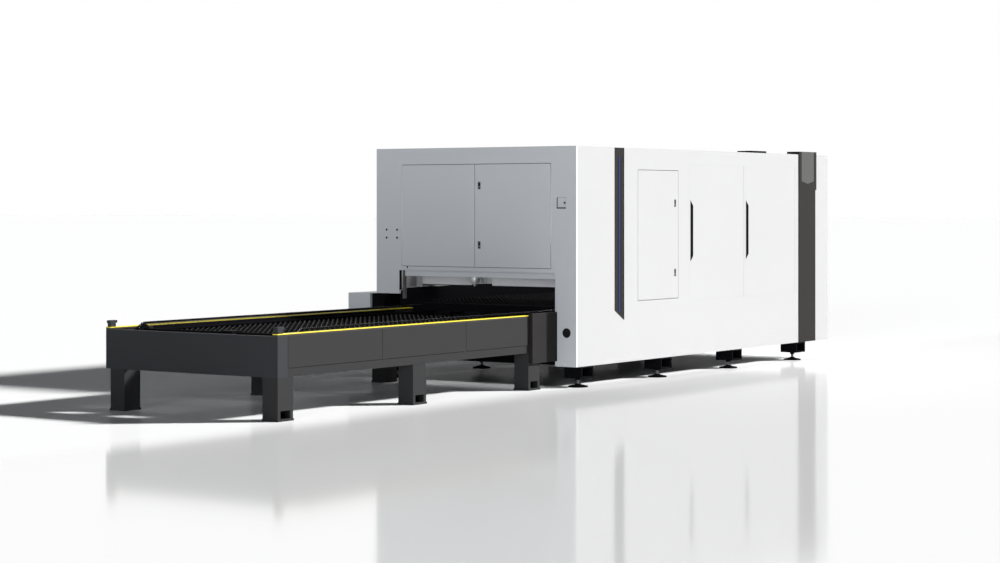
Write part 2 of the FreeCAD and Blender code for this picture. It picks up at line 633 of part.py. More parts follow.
def column_cover():
    """The dark column with its hood, which laps over the roof and holds a pointed recess."""
    column = NEAR_WALL.block(COLUMN_X0, COLUMN_X1, -COLUMN_PROUD + 2, 0, HOUSING_Z0, WALL_TOP)
    top = HOUSING_Z1 + HOOD_RISE
    hood = NEAR_WALL.block(COLUMN_X0, HOOD_X1, -COLUMN_PROUD, 0, HOOD_Z0, top)
    lap = NEAR_WALL.block(COLUMN_X0, HOOD_X1, 0, HOOD_REACH, HOUSING_Z1, top)
    middle = (INSET_X0 + INSET_X1) / 2
    outline = [(INSET_X0, INSET_SIDE_Z), (middle, INSET_TIP_Z), (INSET_X1, INSET_SIDE_Z),
               (INSET_X1, top + 1), (INSET_X0, top + 1)]
    recess = NEAR_WALL.plate(outline, -COLUMN_PROUD - 1, -COLUMN_PROUD + 4)
    return fused([column, hood, lap]).cut(recess)


def reset_button():
    """A push button whose stem passes through the floor of the square recess."""
    face = HOUSING_X0 + RECESS_DEPTH
    profile = [(0, 0), (BUTTON_R - 1, 0), (BUTTON_R, 1), (BUTTON_R, 5), (BUTTON_R - 3.1, 5),
               (BUTTON_R - 3.1, 20), (0, 20)]
    return turned(profile, (face - 5 - BUTTON_TRAVEL - 0.5, BUTTON_Y, BUTTON_Z), X_DIR, 12)


def tray_down(x0, x1, y0, y1, z0, z1, wall):
    """A folded sheet lid, open below."""
    inner = box(x0 + wall, x1 - wall, y0 + wall, y1 - wall, z0 - 1, z1 - wall)
    return box(x0, x1, y0, y1, z0, z1).cut(inner)


def roof_cover():
    """The low cover over the roof's cable outlet."""
    return tray_down(2720, 3040, -1262, -1100, HOUSING_Z1, HOUSING_Z1 + 20, 2)


def neck(x, wall, y0, y1):
    """The outside of one neck, or its inside when wall is above zero."""
    z0, z1 = DUCT_NECK_Z
    return box(x + wall, x + DUCT_NECK - wall, y0, y1, z0 + wall, z1 - wall)


def dust_duct():
    """The suction duct along the far side, of welded sheets. Its necks join the bed, its end takes a hose."""
    x0, x1, y0, y1, z0, z1 = DUCT
    wall = DUCT_SHEET
    low, high = z0 + wall, z1 - wall
    neck_low, neck_high = DUCT_NECK_Z
    for z in (z0, high):
        yield box(x0, x1, y0, y1, z, z + wall)
    yield box(x0, x1, y1 - wall, y1, low, high)
    yield box(x0, x0 + wall, y0 + wall, y1 - wall, low, high)
    edge = x0
    for x in DUCT_NECKS_X:
        end = x + DUCT_NECK
        yield box(edge, x, y0, y0 + wall, low, high)
        yield box(x, end, y0, y0 + wall, low, neck_low)
        yield box(x, end, y0, y0 + wall, neck_high, high)
        for z in (neck_low, neck_high - wall):
            yield box(x, end, BED_FAR_Y1, y0 + wall, z, z + wall)
        for s in (x, end - wall):
            yield box(s, s + wall, BED_FAR_Y1, y0 + wall, neck_low + wall, neck_high - wall)
        edge = end
    yield box(edge, x1, y0, y0 + wall, low, high)
    yield box(x1 - DUCT_FLANGE, x1, y0 - 12, y0, z0, z1)
    yield box(x1 - DUCT_FLANGE, x1, y0 - 12, y1, z0 - 12, z0)


# ---- entry flap ----
def entry_flap():
    """The flap that closes the pallet opening: a folded sheet that slides down."""
    sheet = box(FLAP_X - FLAP_THICKNESS, FLAP_X - FLAP_THICKNESS + SHEET, FLAP_Y0, FLAP_Y1, FLAP_Z0, FLAP_Z1)
    top = FLAP_Z1 - SHEET
    folds = [box(FLAP_X - FLAP_THICKNESS, FLAP_X, FLAP_Y0, FLAP_Y1, z, z + SHEET) for z in (FLAP_Z0, top)]
    rods = [rod(FLAP_ROD_R, 290, (FLAP_X - FLAP_THICKNESS / 2, y, top), Z_DIR) for y in flap_rod_places()]
    return fused([sheet] + folds + rods)


def flap_rod_places():
    """Where the lifting rods stand along the flap."""
    return FLAP_Y0 + 12, FLAP_Y1 - 12


def flap_guides():
    """The two channels that the flap's edges run in."""
    low, high = 752, FLAP_Z1 + 60
    for edge, side in ((FLAP_Y0, -1), (FLAP_Y1, 1)):
        a, b = sorted((edge + side * 6, edge - side * 18))
        channel = box(FLAP_X - FLAP_THICKNESS - 6, FLAP_X + 5, a, b, low, high)
        inner = sorted((edge + side * 0.5, edge - side * 19))
        slot = box(FLAP_X - FLAP_THICKNESS - 0.5, FLAP_X + 0.5, *inner, low - 1, high + 1)
        rod_x, rod_y = FLAP_X - FLAP_THICKNESS / 2, edge - side * 12
        cap = box(FLAP_X - FLAP_THICKNESS - 6, FLAP_X + 5, a, b, high, high + 8)
        cylinder = box(rod_x - 11, rod_x + 11, rod_y - 11, rod_y + 11, high, high + 280)
        hole = bore(FLAP_ROD_R + TURNING_GAP, 276, (rod_x, rod_y, high - 1), Z_DIR)
        ties = box(HOUSING_X0 + WALL_DEPTH + POST_DEPTH, FLAP_X - FLAP_THICKNESS - 6, a, b, 1030, 1070)
        yield fused([channel.cut(slot), cap, cylinder, ties]).cut(hole)


# ---- bed ----
def foot_places():
    """The floor positions of the levelling feet, with the side that each is on."""
    for y in (FOOT_NEAR_Y, FOOT_FAR_Y):
        for i in range(FEET_PER_SIDE):
            yield FOOT_X0 + i * FOOT_PITCH, y


def bed_frame():
    """Two hollow side beams, cross members, foot stubs, racks, idler axles and the outrigger."""
    windows = Part.makeCompound([neck(x, DUCT_SHEET, BED_FAR_Y0 - 1, BED_FAR_Y1 + 1) for x in DUCT_NECKS_X])
    for y0, y1 in ((BED_NEAR_Y0, BED_NEAR_Y1), (BED_FAR_Y0, BED_FAR_Y1)):
        outer = box(BED_X0, BED_X1, y0, y1, HOUSING_Z0, BED_TOP)
        hollow = box(BED_X0 - 1, BED_X1 + 1, y0 + BED_WALL, y1 - BED_WALL, HOUSING_Z0 + 20, BED_TOP - 14)
        yield outer.cut(hollow).cut(windows)
    for i in range(FEET_PER_SIDE):
        x = FOOT_X0 + i * FOOT_PITCH
        yield box(max(x - 60, BED_X0), x + 60, BED_NEAR_Y1, BED_FAR_Y0, HOUSING_Z0, BED_CROSS_TOP)
    for x, y in foot_places():
        yield foot_stub(x, y)
    for y in (RACK_NEAR_Y, RACK_FAR_Y):
        yield box(RAIL_X0, RAIL_X1, y - RACK_SIZE / 2, y + RACK_SIZE / 2, BED_TOP, BED_TOP + RACK_SIZE)
    for side, face in ((-1, BED_NEAR_Y1), (1, BED_FAR_Y0)):
        reach = abs(face - TABLE_Y) - CHAIN_OFFSET + 14
        yield rod(TAIL_AXLE_R, reach, (TAIL_X, face, SHAFT_Z), Y_DIR * -side)
    yield box(OUTRIGGER_X0, OUTRIGGER_X1, BED_FAR_Y1, OUTRIGGER_Y1, OUTRIGGER_Z0, FAR_COLUMN_Z0 - 6)


def foot_stub(x, y):
    """A short piece of rectangular tube below the bed, open towards the side."""
    z1 = HOUSING_Z0
    side = -1 if y == FOOT_NEAR_Y else 1
    end = y + side * 100 if side < 0 else y + side * 50
    a, b = sorted((end, end - side * STUB_LENGTH))
    half = STUB_WIDTH / 2
    stub = box(x - half, x + half, a, b, STUB_Z0, z1)
    inside = half - STUB_WALL
    hollow = box(x - inside, x + inside, a - 1, b + 1, STUB_Z0 + STUB_WALL, z1 - STUB_WALL)
    return stub.cut(hollow).cut(bore(SCREW_R + 1, 40, (x, y, STUB_Z0 - 10), Z_DIR))


def levelling_feet():
    """Turned pads with their screws, each with the nut that locks it under its stub."""
    profile = [(0, 0), (PAD_R, 0), (PAD_R, 11), (SCREW_R, PAD_HEIGHT + 12), (SCREW_R, FOOT_SCREW_TOP),
               (0, FOOT_SCREW_TOP)]
    for x, y in foot_places():
        nut = rod(27, 20, (x, y, STUB_Z0 - 20), Z_DIR, 6)
        yield fused([turned(profile, (x, y, 0), Z_DIR, 8), nut])


def x_rails():
    """The guide rails on the bed: a waisted profile drawn along X."""
    for y in (RAIL_NEAR_Y, RAIL_FAR_Y):
        half, waist = RAIL_WIDTH / 2, RAIL_WIDTH / 2 - 5
        right = [(half, 0), (half, 8), (waist, 12), (waist, 18), (half, 22), (half, RAIL_HEIGHT)]
        outline = right + [(-a, b) for a, b in reversed(right)]
        yield prism([(RAIL_X0, y + a, BED_TOP + b) for a, b in outline], (RAIL_X1 - RAIL_X0, 0, 0))


def pallet_tracks():
    """The bed's two tracks for the pallets, on angle brackets that pass between the chain's runs."""
    z0, z1 = UPPER_TRACK_Z - TRACK_THICKNESS, UPPER_TRACK_Z
    inner, middle = TRACK_OUT - BRACKET, TRACK_OUT
    for face, side in ((BED_NEAR_Y1, -1), (BED_FAR_Y0, 1)):
        yield box(BED_TRACK_X0, BED_TRACK_X1, *offset_span(side, TRACK_IN, TRACK_OUT), z0, z1)
        outer = abs(face - TABLE_Y)
        low, arm = z1 - 60, z1 - 34
        angle = [(inner, low), (outer, low), (outer, arm), (middle, arm), (middle, z0), (inner, z0)]
        for x in BRACKETS_X:
            yield prism([(x, TABLE_Y + side * y, z) for y, z in angle], (60, 0, 0))


def slag_trays():
    """Trays that catch the slag, resting on the bed's cross members."""
    for i in range(FEET_PER_SIDE - 1):
        x0 = FOOT_X0 + i * FOOT_PITCH + 10
        yield tray(x0, x0 + FOOT_PITCH - 20, -1000, 680, 300, 440, 4)


# ---- exchange table ----
def table_sides():
    """The two sides of the table: the sign that mirrors an offset from its centre line."""
    return -1, 1


def offset_span(side, a, b):
    """The Y span between two offsets on one side of the table's centre line."""
    return sorted((TABLE_Y + side * a, TABLE_Y + side * b))


def leg_places():
    """The corner of each leg nearest the front end and the near side."""
    for x0 in LEG_X0:
        yield x0, LEG_NEAR_Y0, -1
        yield x0, LEG_FAR_Y1 - LEG_WIDTH, 1


def leg(x0, y0, side):
    """A hollow leg on its base plate, with a hand hole at the foot of its outer face."""
    x1, y1 = x0 + LEG_LENGTH, y0 + LEG_WIDTH
    column = box(x0, x1, y0, y1, BASE_PLATE, TABLE_Z0)
    hollow = box(x0 + LEG_WALL, x1 - LEG_WALL, y0 + LEG_WALL, y1 - LEG_WALL, BASE_PLATE, TABLE_Z0 - 8)
    plate = box(x0 - 5, x1 + 5, y0 - 5, y1 + 5, 0, BASE_PLATE)
    middle = (x0 + x1) / 2
    a, b = (y0 - 1, y0 + LEG_WALL + 1) if side < 0 else (y1 - LEG_WALL - 1, y1 + 1)
    half = LEG_HOLE_LENGTH / 2
    hole = box(middle - half, middle + half, a, b, BASE_PLATE, BASE_PLATE + LEG_HOLE_HEIGHT)
    return fused([column.cut(hollow).cut(hole), plate])


def cylinder_places():
    """The centres of the four lift cylinders, inside the legs at both ends of the table."""
    for x0 in (LEG_X0[0], LEG_X0[-1]):
        for side in table_sides():
            yield x0 + LEG_LENGTH / 2, TABLE_Y + side * CYLINDER_OFFSET


def table_frame():
    """Legs, rails, posts, cross beams and bearing plates, each a solid that stands against the next."""
    outer = TABLE_HALF - PANEL
    start = TABLE_X0 + PANEL
    rail_x = start + RAIL_TUBE
    top_z = TABLE_Z1 - TOP_RAIL_HEIGHT
    half = CYLINDER_SIZE / 2
    room = [box(x - half, x + half, y - half, y + half, BASE_PLATE, TABLE_RAIL_TOP + 1)
            for x, y in cylinder_places()]
    room = Part.makeCompound(room)
    for place in leg_places():
        yield leg(*place).cut(room)
    for side in table_sides():
        far_end = COVER_X1 if side < 0 else FAR_STRIP_X1
        top = offset_span(side, BEARING_OUT, outer)
        yield tube(rail_x, COVER_X1, *offset_span(side, BEARING_IN, outer), TABLE_Z0, TABLE_RAIL_TOP)
        yield tube(rail_x, far_end, *top, top_z, TABLE_Z1)
        for x in [start] + [x - 20 for x in PANEL_SEAMS_X] + [LEG_X0[2], COVER_X1 - RAIL_TUBE]:
            yield box(x, x + RAIL_TUBE, *top, TABLE_RAIL_TOP, top_z)
        plate = offset_span(side, BEARING_IN, BEARING_OUT)
        bearing = box(SHAFT_X - 40, SHAFT_X + 40, *plate, TABLE_RAIL_TOP, TABLE_Z1)
        center = (SHAFT_X, TABLE_Y + side * 820, SHAFT_Z)
        yield bearing.cut(bore(SHAFT_R + TURNING_GAP, 60, center, Y_DIR * side, 12))
    inner = offset_span(1, -BEARING_IN, BEARING_IN)
    for x in (SHAFT_X - 50, LEG_X0[1] + 50, LEG_X0[2] + 20):
        yield tube(x, x + 80, *inner, TABLE_Z0, TABLE_RAIL_TOP, "y").cut(room)
    for z0, z1 in ((TABLE_Z0, TABLE_RAIL_TOP), (top_z, TABLE_Z1)):
        yield tube(start, rail_x, *offset_span(1, -outer, outer), z0, z1, "y")


def table_end_panel():
    """The folded panel across the outer end."""
    y0, y1 = offset_span(1, -TABLE_HALF, TABLE_HALF)
    face = box(TABLE_X0, TABLE_X0 + PANEL, y0, y1, TABLE_Z0, TABLE_Z1)
    returns = []
    for side in table_sides():
        y = offset_span(side, TABLE_HALF - PANEL, TABLE_HALF)
        returns.append(box(TABLE_X0, PANEL_SEAMS_X[0] - SEAM / 2, *y, TABLE_Z0, TABLE_Z1))
    return fused([face] + returns)


def table_side_panels():
    """Three flat panels on each side above the bottom rail."""
    edges = list(PANEL_SEAMS_X) + [TABLE_X1]
    for side in table_sides():
        y = offset_span(side, TABLE_HALF - PANEL, TABLE_HALF)
        for x0, x1 in zip(edges[:-1], edges[1:]):
            yield box(x0 + SEAM / 2, x1 - SEAM / 2, *y, TABLE_RAIL_TOP + SEAM, TABLE_Z1)


def safety_strips():
    """The yellow strips along the top edges."""
    for side, x1 in ((-1, NEAR_STRIP_X1), (1, FAR_STRIP_X1)):
        y = offset_span(side, TABLE_HALF - STRIP_WIDTH, TABLE_HALF)
        yield box(TABLE_X0, x1, *y, TABLE_Z1, TABLE_Z1 + STRIP_HEIGHT)


def cable_tray():
    """The open channel that carries the table's cables along the far side to the bed."""
    y0 = TABLE_Y + TABLE_HALF
    y1, z0, z1, wall = y0 + TRAY_WIDTH, TRAY_Z0, TRAY_Z1, TRAY_SHEET
    outline = [(y0, z0), (y1, z0), (y1, z1), (y1 - wall, z1), (y1 - wall, z0 + wall), (y0 + wall, z0 + wall),
               (y0 + wall, z1), (y0, z1)]
    return prism([(TRAY_X0, y, z) for y, z in outline], (BED_X0 - TRAY_X0, 0, 0))


def end_stops():
    """The rubber-topped stops on the two outer corners."""
    z0 = TABLE_Z1 + STRIP_HEIGHT
    for side in table_sides():
        y = offset_span(side, TABLE_HALF - STOP_WIDTH - 4, TABLE_HALF - 4)
        stem = box(STOP_X0 + 6, STOP_X0 + STOP_LENGTH - 14, y[0] + 3, y[1] - 3, z0, z0 + STOP_HEIGHT - 24)
        x0, x1, top = STOP_X0, STOP_X0 + STOP_LENGTH, z0 + STOP_HEIGHT
        outline = [(x0, top - 24), (x1 - 14, top - 24), (x1, top - 16), (x1, top), (x0, top)]
        yield fused([stem, prism([(x, y[0], z) for x, z in outline], (0, STOP_WIDTH, 0))])


def drive_cover():
    """The sheet cover on the near side between the table and the housing."""
    y1 = TABLE_Y - TABLE_HALF
    outer = box(COVER_X0, COVER_X1, COVER_Y0, y1, COVER_Z0, COVER_Z1)
    inner = box(COVER_X0 + 3, COVER_X1 - 3, COVER_Y0 + 3, y1 + 1, COVER_Z0 + 3, COVER_Z1 - 3)
    return outer.cut(inner)


def lift_frame():
    """The moving frame of the table: two track plates with their ledges, on three cross tubes."""
    arm_z = LIFT_Z0, LIFT_Z0 + LIFT_ARM
    cross_x = (LIFT_X0 + 60, (LIFT_X0 + LIFT_X1) / 2 - 40, LIFT_X1 - 140)
    for side in table_sides():
        yield box(LIFT_X0, LIFT_X1, *offset_span(side, TRACK_OUT, TRACK_OUT + LIFT_PLATE), LIFT_Z0, LIFT_Z1)
        for top in (UPPER_TRACK_Z, UPPER_TRACK_Z - LEVEL_DROP):
            ledge = offset_span(side, TRACK_IN, TRACK_OUT)
            yield box(LIFT_X0, LIFT_X1, *ledge, top - TRACK_THICKNESS, top)
        arm = offset_span(side, CYLINDER_OFFSET - 20, CYLINDER_OFFSET + 13)
        yield box(LEG_X0[0] + LEG_LENGTH / 2 - 25, LIFT_X0, *arm, *arm_z)
        yield box(LIFT_X0, cross_x[0], *offset_span(side, CYLINDER_OFFSET - 20, TRACK_OUT), *arm_z)
    for x in cross_x:
        yield tube(x, x + 80, *offset_span(1, -TRACK_OUT, TRACK_OUT), LIFT_Z0, LIFT_Z0 + 45, "y")


def lift_cylinders():
    """The barrels of the lift cylinders, standing on the legs' base plates."""
    for x, y in cylinder_places():
        half = CYLINDER_SIZE / 2
        barrel = box(x - half, x + half, y - half, y + half, BASE_PLATE, CYLINDER_TOP)
        yield barrel.cut(bore(ROD_R + TURNING_GAP, LIFT_Z0, (x, y, BASE_PLATE + 60), Z_DIR))


def lift_rods():
    """The rods, each with the plate that carries the lift frame."""
    for x, y in cylinder_places():
        foot = BASE_PLATE + 62
        yield fused([rod(ROD_R, LIFT_Z0 - 10 - foot, (x, y, foot), Z_DIR),
                     box(x - 22, x + 22, y - CAP_HALF, y + CAP_HALF, LIFT_Z0 - 10, LIFT_Z0)])


def chain_loop(side):
    """One chain as a closed band round its two sprockets."""
    y = TABLE_Y + side * CHAIN_OFFSET - CHAIN_WIDTH / 2

    def racetrack(radius):
        """A closed outline of two straight runs and two half circles."""
        turn = [math.pi * (i / CHAIN_ARC - 0.5) for i in range(CHAIN_ARC + 1)]
        tail = [(TAIL_X + radius * math.cos(a), y, SHAFT_Z + radius * math.sin(a)) for a in turn]
        drive = [(SHAFT_X - radius * math.cos(a), y, SHAFT_Z - radius * math.sin(a)) for a in turn]
        return tail + drive

    outer = prism(racetrack(SPROCKET_PITCH_R + CHAIN_HALF_HEIGHT), (0, CHAIN_WIDTH, 0))
    return outer.cut(prism(racetrack(SPROCKET_PITCH_R - CHAIN_HALF_HEIGHT), (0, CHAIN_WIDTH, 0)))


def sprocket(x, side):
    """A toothed wheel whose tips stay just inside the chain band."""
    inner = (SPROCKET_PITCH_R - CHAIN_HALF_HEIGHT) * math.cos(math.pi / CHAIN_ARC / 2)
    tip, root = inner - 0.05, inner - 9
    y = TABLE_Y + side * CHAIN_OFFSET - 6
    outline = []
    for i in range(SPROCKET_TEETH):
        for part, radius in ((0.0, root), (0.5, tip)):
            angle = 2 * math.pi * (i + part) / SPROCKET_TEETH
            outline.append((x + radius * math.cos(angle), y, SHAFT_Z + radius * math.sin(angle)))
    return prism(outline, (0, 12, 0))


def drive_shaft():
    """The cross shaft of the chain drive, and the two sprockets that are keyed on it."""
    y0, y1 = offset_span(1, -SHAFT_HALF, SHAFT_HALF)
    yield pin(SHAFT_R, y1 - y0, (SHAFT_X, y0, SHAFT_Z), Y_DIR)
    for side in table_sides():
        start = (SHAFT_X, TABLE_Y + side * (CHAIN_OFFSET - 10), SHAFT_Z)
        yield sprocket(SHAFT_X, side).cut(bore(SHAFT_R, 20, start, Y_DIR * side))


def tail_sprockets():
    """The two idlers at the bed, each on its own stub axle."""
    for side in table_sides():
        start = (TAIL_X, TABLE_Y + side * (CHAIN_OFFSET - 10), SHAFT_Z)
        yield sprocket(TAIL_X, side).cut(bore(TAIL_AXLE_R + TURNING_GAP, 20, start, Y_DIR * side))


def gearmotor():
    """The hollow-shaft gear unit on the cross shaft with its motor."""
    housing = box(SHAFT_X - 75, SHAFT_X + 55, -330, -210, TABLE_RAIL_TOP, SHAFT_Z + 30)
    motor = rod(62, 200, (SHAFT_X - 275, -270, 480), X_DIR)
    return fused([housing, motor]).cut(bore(SHAFT_R + TURNING_GAP, 200, (SHAFT_X, -370, SHAFT_Z), Y_DIR))


# ---- pallets ----
def pallet_frame(x0, track_z):
    """A pallet's beams, the ledges that its slats rest on, its cross members and its stub axles."""
    width, height = PALLET_BEAM
    z0 = track_z + PALLET_CLEAR
    x1 = x0 + PALLET_LENGTH
    rest = track_z + SLAT_REST
    inside = PALLET_HALF - width
    for side in table_sides():
        yield box(x0, x1, *offset_span(side, inside, PALLET_HALF), z0, z0 + height)
        yield box(x0 + END_BEAM, x1 - END_BEAM, *offset_span(side, inside - 30, inside), rest - LEDGE, rest)
        for x in wheel_places(x0):
            start = (x, TABLE_Y + side * PALLET_HALF, track_z + WHEEL_R + 0.3)
            yield rod(AXLE_R, WHEEL_WIDTH + 5, start, Y_DIR * side)
    y = offset_span(1, -inside, inside)
    for x in (x0, x1 - END_BEAM):
        yield box(x, x + END_BEAM, *y, z0, z0 + height)
    for i in range(1, PALLET_BAYS):
        x = x0 + i * PALLET_LENGTH / PALLET_BAYS - 25
        yield box(x, x + 50, *y, z0, rest - LEDGE)


def wheel_places(x0):
    """The two axle stations of a pallet."""
    return x0 + WHEEL_INSET, x0 + PALLET_LENGTH - WHEEL_INSET


def wheel_pair(x, track_z):
    """Two flanged wheels on one line, each on its own stub axle."""
    for side in table_sides():
        start = (x, TABLE_Y + side * (PALLET_HALF + 4), track_z + WHEEL_R + 0.3)
        wheel = rod(WHEEL_R, WHEEL_WIDTH, start, Y_DIR * side, WHEEL_SIDES)
        yield wheel.cut(bore(AXLE_R + TURNING_GAP, WHEEL_WIDTH, start, Y_DIR * side))


def slat_outline(track_z):
    """The outline of one slat across the pallet: a straight foot and a row of teeth."""
    half = PALLET_HALF - PALLET_BEAM[0] - 2
    z0 = track_z + SLAT_REST
    valley, tip = z0 + SLAT_HEIGHT - TOOTH_DEPTH, z0 + SLAT_HEIGHT
    pitch = 2 * half / SLAT_TEETH
    points = [(TABLE_Y + half, z0), (TABLE_Y - half, z0), (TABLE_Y - half, valley)]
    for i in range(SLAT_TEETH):
        y = TABLE_Y - half + i * pitch
        points += [(y + pitch / 2, tip), (y + pitch, valley)]
    return points


def pallet_slats(x0, track_z):
    """The row of toothed slats that carries the work."""
    first, last = x0 + END_BEAM + 40, x0 + PALLET_LENGTH - END_BEAM - 40
    step = (last - first) / (SLATS - 1)
    outline = slat_outline(track_z)
    for i in range(SLATS):
        x = first + i * step - SLAT_THICKNESS / 2
        yield prism([(x, y, z) for y, z in outline], (SLAT_THICKNESS, 0, 0))


# ---- gantry, carriage and head ----
def gear(center, radius, width, teeth, direction):
    """A spur gear of straight flanks, with its tips on the outside circle."""
    def corner(turns, r):
        """A point of the outline, by its share of a whole turn."""
        return V(r * math.cos(2 * math.pi * turns), r * math.sin(2 * math.pi * turns), 0)

    root, tip = radius - 3, radius + 2
    edges = []
    for i in range(teeth):
        valley, rise, middle, fall, following = (corner((i + part) / teeth, r) for part, r in
                                                 ((0, root), (0.35, tip), (0.5, tip), (0.65, tip), (1, root)))
        edges.append(Part.makeLine(valley, rise))
        edges.append(Part.Arc(rise, middle, fall).toShape())
        edges.append(Part.makeLine(fall, following))
    shape = Part.Face(Part.Wire(edges)).extrude(V(0, 0, width))
    shape.Placement = FreeCAD.Placement(V(*center), FreeCAD.Rotation(Z_DIR, direction))
    return shape


def gantry_beam():
    """The crossbeam with its two end carriages, drives and Y guides."""
    half = BEAM_DEPTH / 2
    x0, x1 = GANTRY_X - half, GANTRY_X + half
    z0, z1 = BEAM_Z0, BEAM_Z0 + BEAM_HEIGHT
    beam = box(x0, x1, BEAM_Y0, BEAM_Y1, z0, z1)
    hollow = box(x0 + 12, x1 - 12, BEAM_Y0 - 1, BEAM_Y1 + 1, z0 + 12, z1 - 12)
    pieces = [beam.cut(hollow)]
    bores = []
    for rail_y, rack_y in ((RAIL_NEAR_Y, RACK_NEAR_Y), (RAIL_FAR_Y, RACK_FAR_Y)):
        base_z = BED_TOP + RAIL_HEIGHT
        for x in (GANTRY_X - 150, GANTRY_X + 60):
            shoe = box(x, x + 90, rail_y - 34, rail_y + 34, BED_TOP + 6, BEAM_Z0)
            groove_half = RAIL_WIDTH / 2 + 1
            groove = box(x - 1, x + 91, rail_y - groove_half, rail_y + groove_half, BED_TOP, base_z + 0.5)
            pieces.append(shoe.cut(groove))
        pieces.append(box(GANTRY_X - 150, GANTRY_X + 150, rail_y - 34, rail_y + 34, BEAM_Z0 - 14, z1))
        inward = 1 if rail_y < rack_y else -1
        gearbox = sorted((rack_y - inward * (PINION_WIDTH / 2 + 1), rail_y))
        pieces.append(box(GANTRY_X - 38, GANTRY_X + 38, *gearbox, base_z + 4, BEAM_Z0))
        pieces.append(rod(MOTOR_R, 170, (GANTRY_X, rail_y + inward * 15, z1), Z_DIR))
        bores.append(bore(PINION_SHAFT_R + TURNING_GAP, 50, (GANTRY_X, rack_y, PINION_Z), Y_DIR * -inward))
    for z in (z0 + 25, z1 - 45):
        pieces.append(box(x0 - 20, x0, BEAM_Y0 + 60, BEAM_Y1 - 60, z, z + 20))
    pieces.append(box(GANTRY_X - 60, GANTRY_X - 35, BEAM_Y0 + 60, BEAM_Y1 - 60, z1, z1 + RACK_SIZE))
    for y in (BEAM_Y0 + 64, BEAM_Y1 - 70):
        pieces.append(box(x0 - 50, x0, y, y + 6, z0 - 34, z1))
    return fused(pieces).cut(Part.makeCompound(bores))


def x_pinions():
    """The pinions that run on the bed's racks, each on a stub shaft in its gearbox."""
    for y, outward in ((RACK_NEAR_Y, -1), (RACK_FAR_Y, 1)):
        wheel = gear((GANTRY_X, y - PINION_WIDTH / 2, PINION_Z), PINION_R, PINION_WIDTH, PINION_TEETH, Y_DIR)
        yield wheel.fuse(rod(PINION_SHAFT_R, 45, (GANTRY_X, y, PINION_Z), Y_DIR * outward))


def bellows(y0, y1):
    """A pleated cover along the beam: a thin sheet folded into a zigzag."""
    x_fold = GANTRY_X - BEAM_DEPTH / 2 - 30
    count = max(2, round((y1 - y0) / PLEAT))
    step = (y1 - y0) / count
    front = []
    for i in range(count):
        front += [(x_fold, y0 + i * step), (x_fold - PLEAT_DEPTH, y0 + (i + 0.5) * step)]
    front.append((x_fold, y1))
    back = [(x + PLEAT_THICKNESS, y) for x, y in reversed(front)]
    z0 = BEAM_Z0 - 34
    return prism([(x, y, z0) for x, y in front + back], (0, 0, BEAM_HEIGHT + 40))


def beam_bellows():
    """The two bellows, one on each side of the carriage."""
    half = CARRIAGE_WIDTH / 2
    yield bellows(BEAM_Y0 + 70, CARRIAGE_Y - half)
    yield bellows(CARRIAGE_Y + half, BEAM_Y1 - 70)


def y_carriage():
    """The carriage plate with its guide shoes, the drive bracket over the beam and the Z guide."""
    half = CARRIAGE_WIDTH / 2
    x_back = GANTRY_X - BEAM_DEPTH / 2 - 22
    z1 = BEAM_Z0 + BEAM_HEIGHT
    y0, y1 = CARRIAGE_Y - half, CARRIAGE_Y + half
    plate = box(x_back - 22, x_back - 8, y0, y1, BEAM_Z0 - 10, z1 + 160)
    shoes = []
    for z in (BEAM_Z0 + 25, z1 - 45):
        shoe = box(x_back - 8, x_back + 14, y0 + 15, y1 - 15, z - 9, z + 29)
        shoes.append(shoe.cut(box(x_back + 1, x_back + 30, y0, y1, z - 0.6, z + 20.6)))
    bridge = box(x_back - 22, GANTRY_X + 20, CARRIAGE_Y - 50, CARRIAGE_Y + 50, z1 + 96, z1 + 160)
    cheek = box(GANTRY_X - 32, GANTRY_X - 10, CARRIAGE_Y - 40, CARRIAGE_Y + 40, z1 + 35, z1 + 100)
    motor = rod(38, 130, (GANTRY_X - 10, CARRIAGE_Y, Y_PINION_Z), X_DIR)
    z_motor = box(HEAD_X + 5, x_back - 22, CARRIAGE_Y - 40, CARRIAGE_Y + 40, z1 + 150, z1 + 270)
    lower = box(HEAD_X + 35, x_back - 22, CARRIAGE_Y - 26, CARRIAGE_Y + 26, BEAM_Z0 - 6, BEAM_Z0 + 14)
    rails = [box(x_back - 36, x_back - 22, y - 8, y + 8, BEAM_Z0 - 10, z1 + 160) for y in z_rail_places()]
    whole = fused([plate, bridge, cheek, motor, z_motor, lower] + shoes + rails)
    screw_bore = bore(SCREW_Z_R + TURNING_GAP, 480, (SCREW_Z_X, CARRIAGE_Y, BEAM_Z0 - 50), Z_DIR)
    pinion_bore = bore(PINION_SHAFT_R + TURNING_GAP, 24, (GANTRY_X - 34, CARRIAGE_Y, Y_PINION_Z), X_DIR)
    return whole.cut(screw_bore).cut(pinion_bore)


def z_rail_places():
    """Where the two short rails of the Z axis stand on the carriage."""
    return CARRIAGE_Y - 52, CARRIAGE_Y + 52


def y_pinion():
    """The pinion that runs on the beam's rack, on its stub shaft."""
    wheel = gear((GANTRY_X - 60, CARRIAGE_Y, Y_PINION_Z), PINION_R, PINION_WIDTH, PINION_TEETH, X_DIR)
    return wheel.fuse(rod(PINION_SHAFT_R, 45, (GANTRY_X - 60, CARRIAGE_Y, Y_PINION_Z), X_DIR))


def z_screw():
    """The ball screw of the Z axis."""
    return pin(SCREW_Z_R, BEAM_HEIGHT + 200, (SCREW_Z_X, CARRIAGE_Y, BEAM_Z0 - 4), Z_DIR)


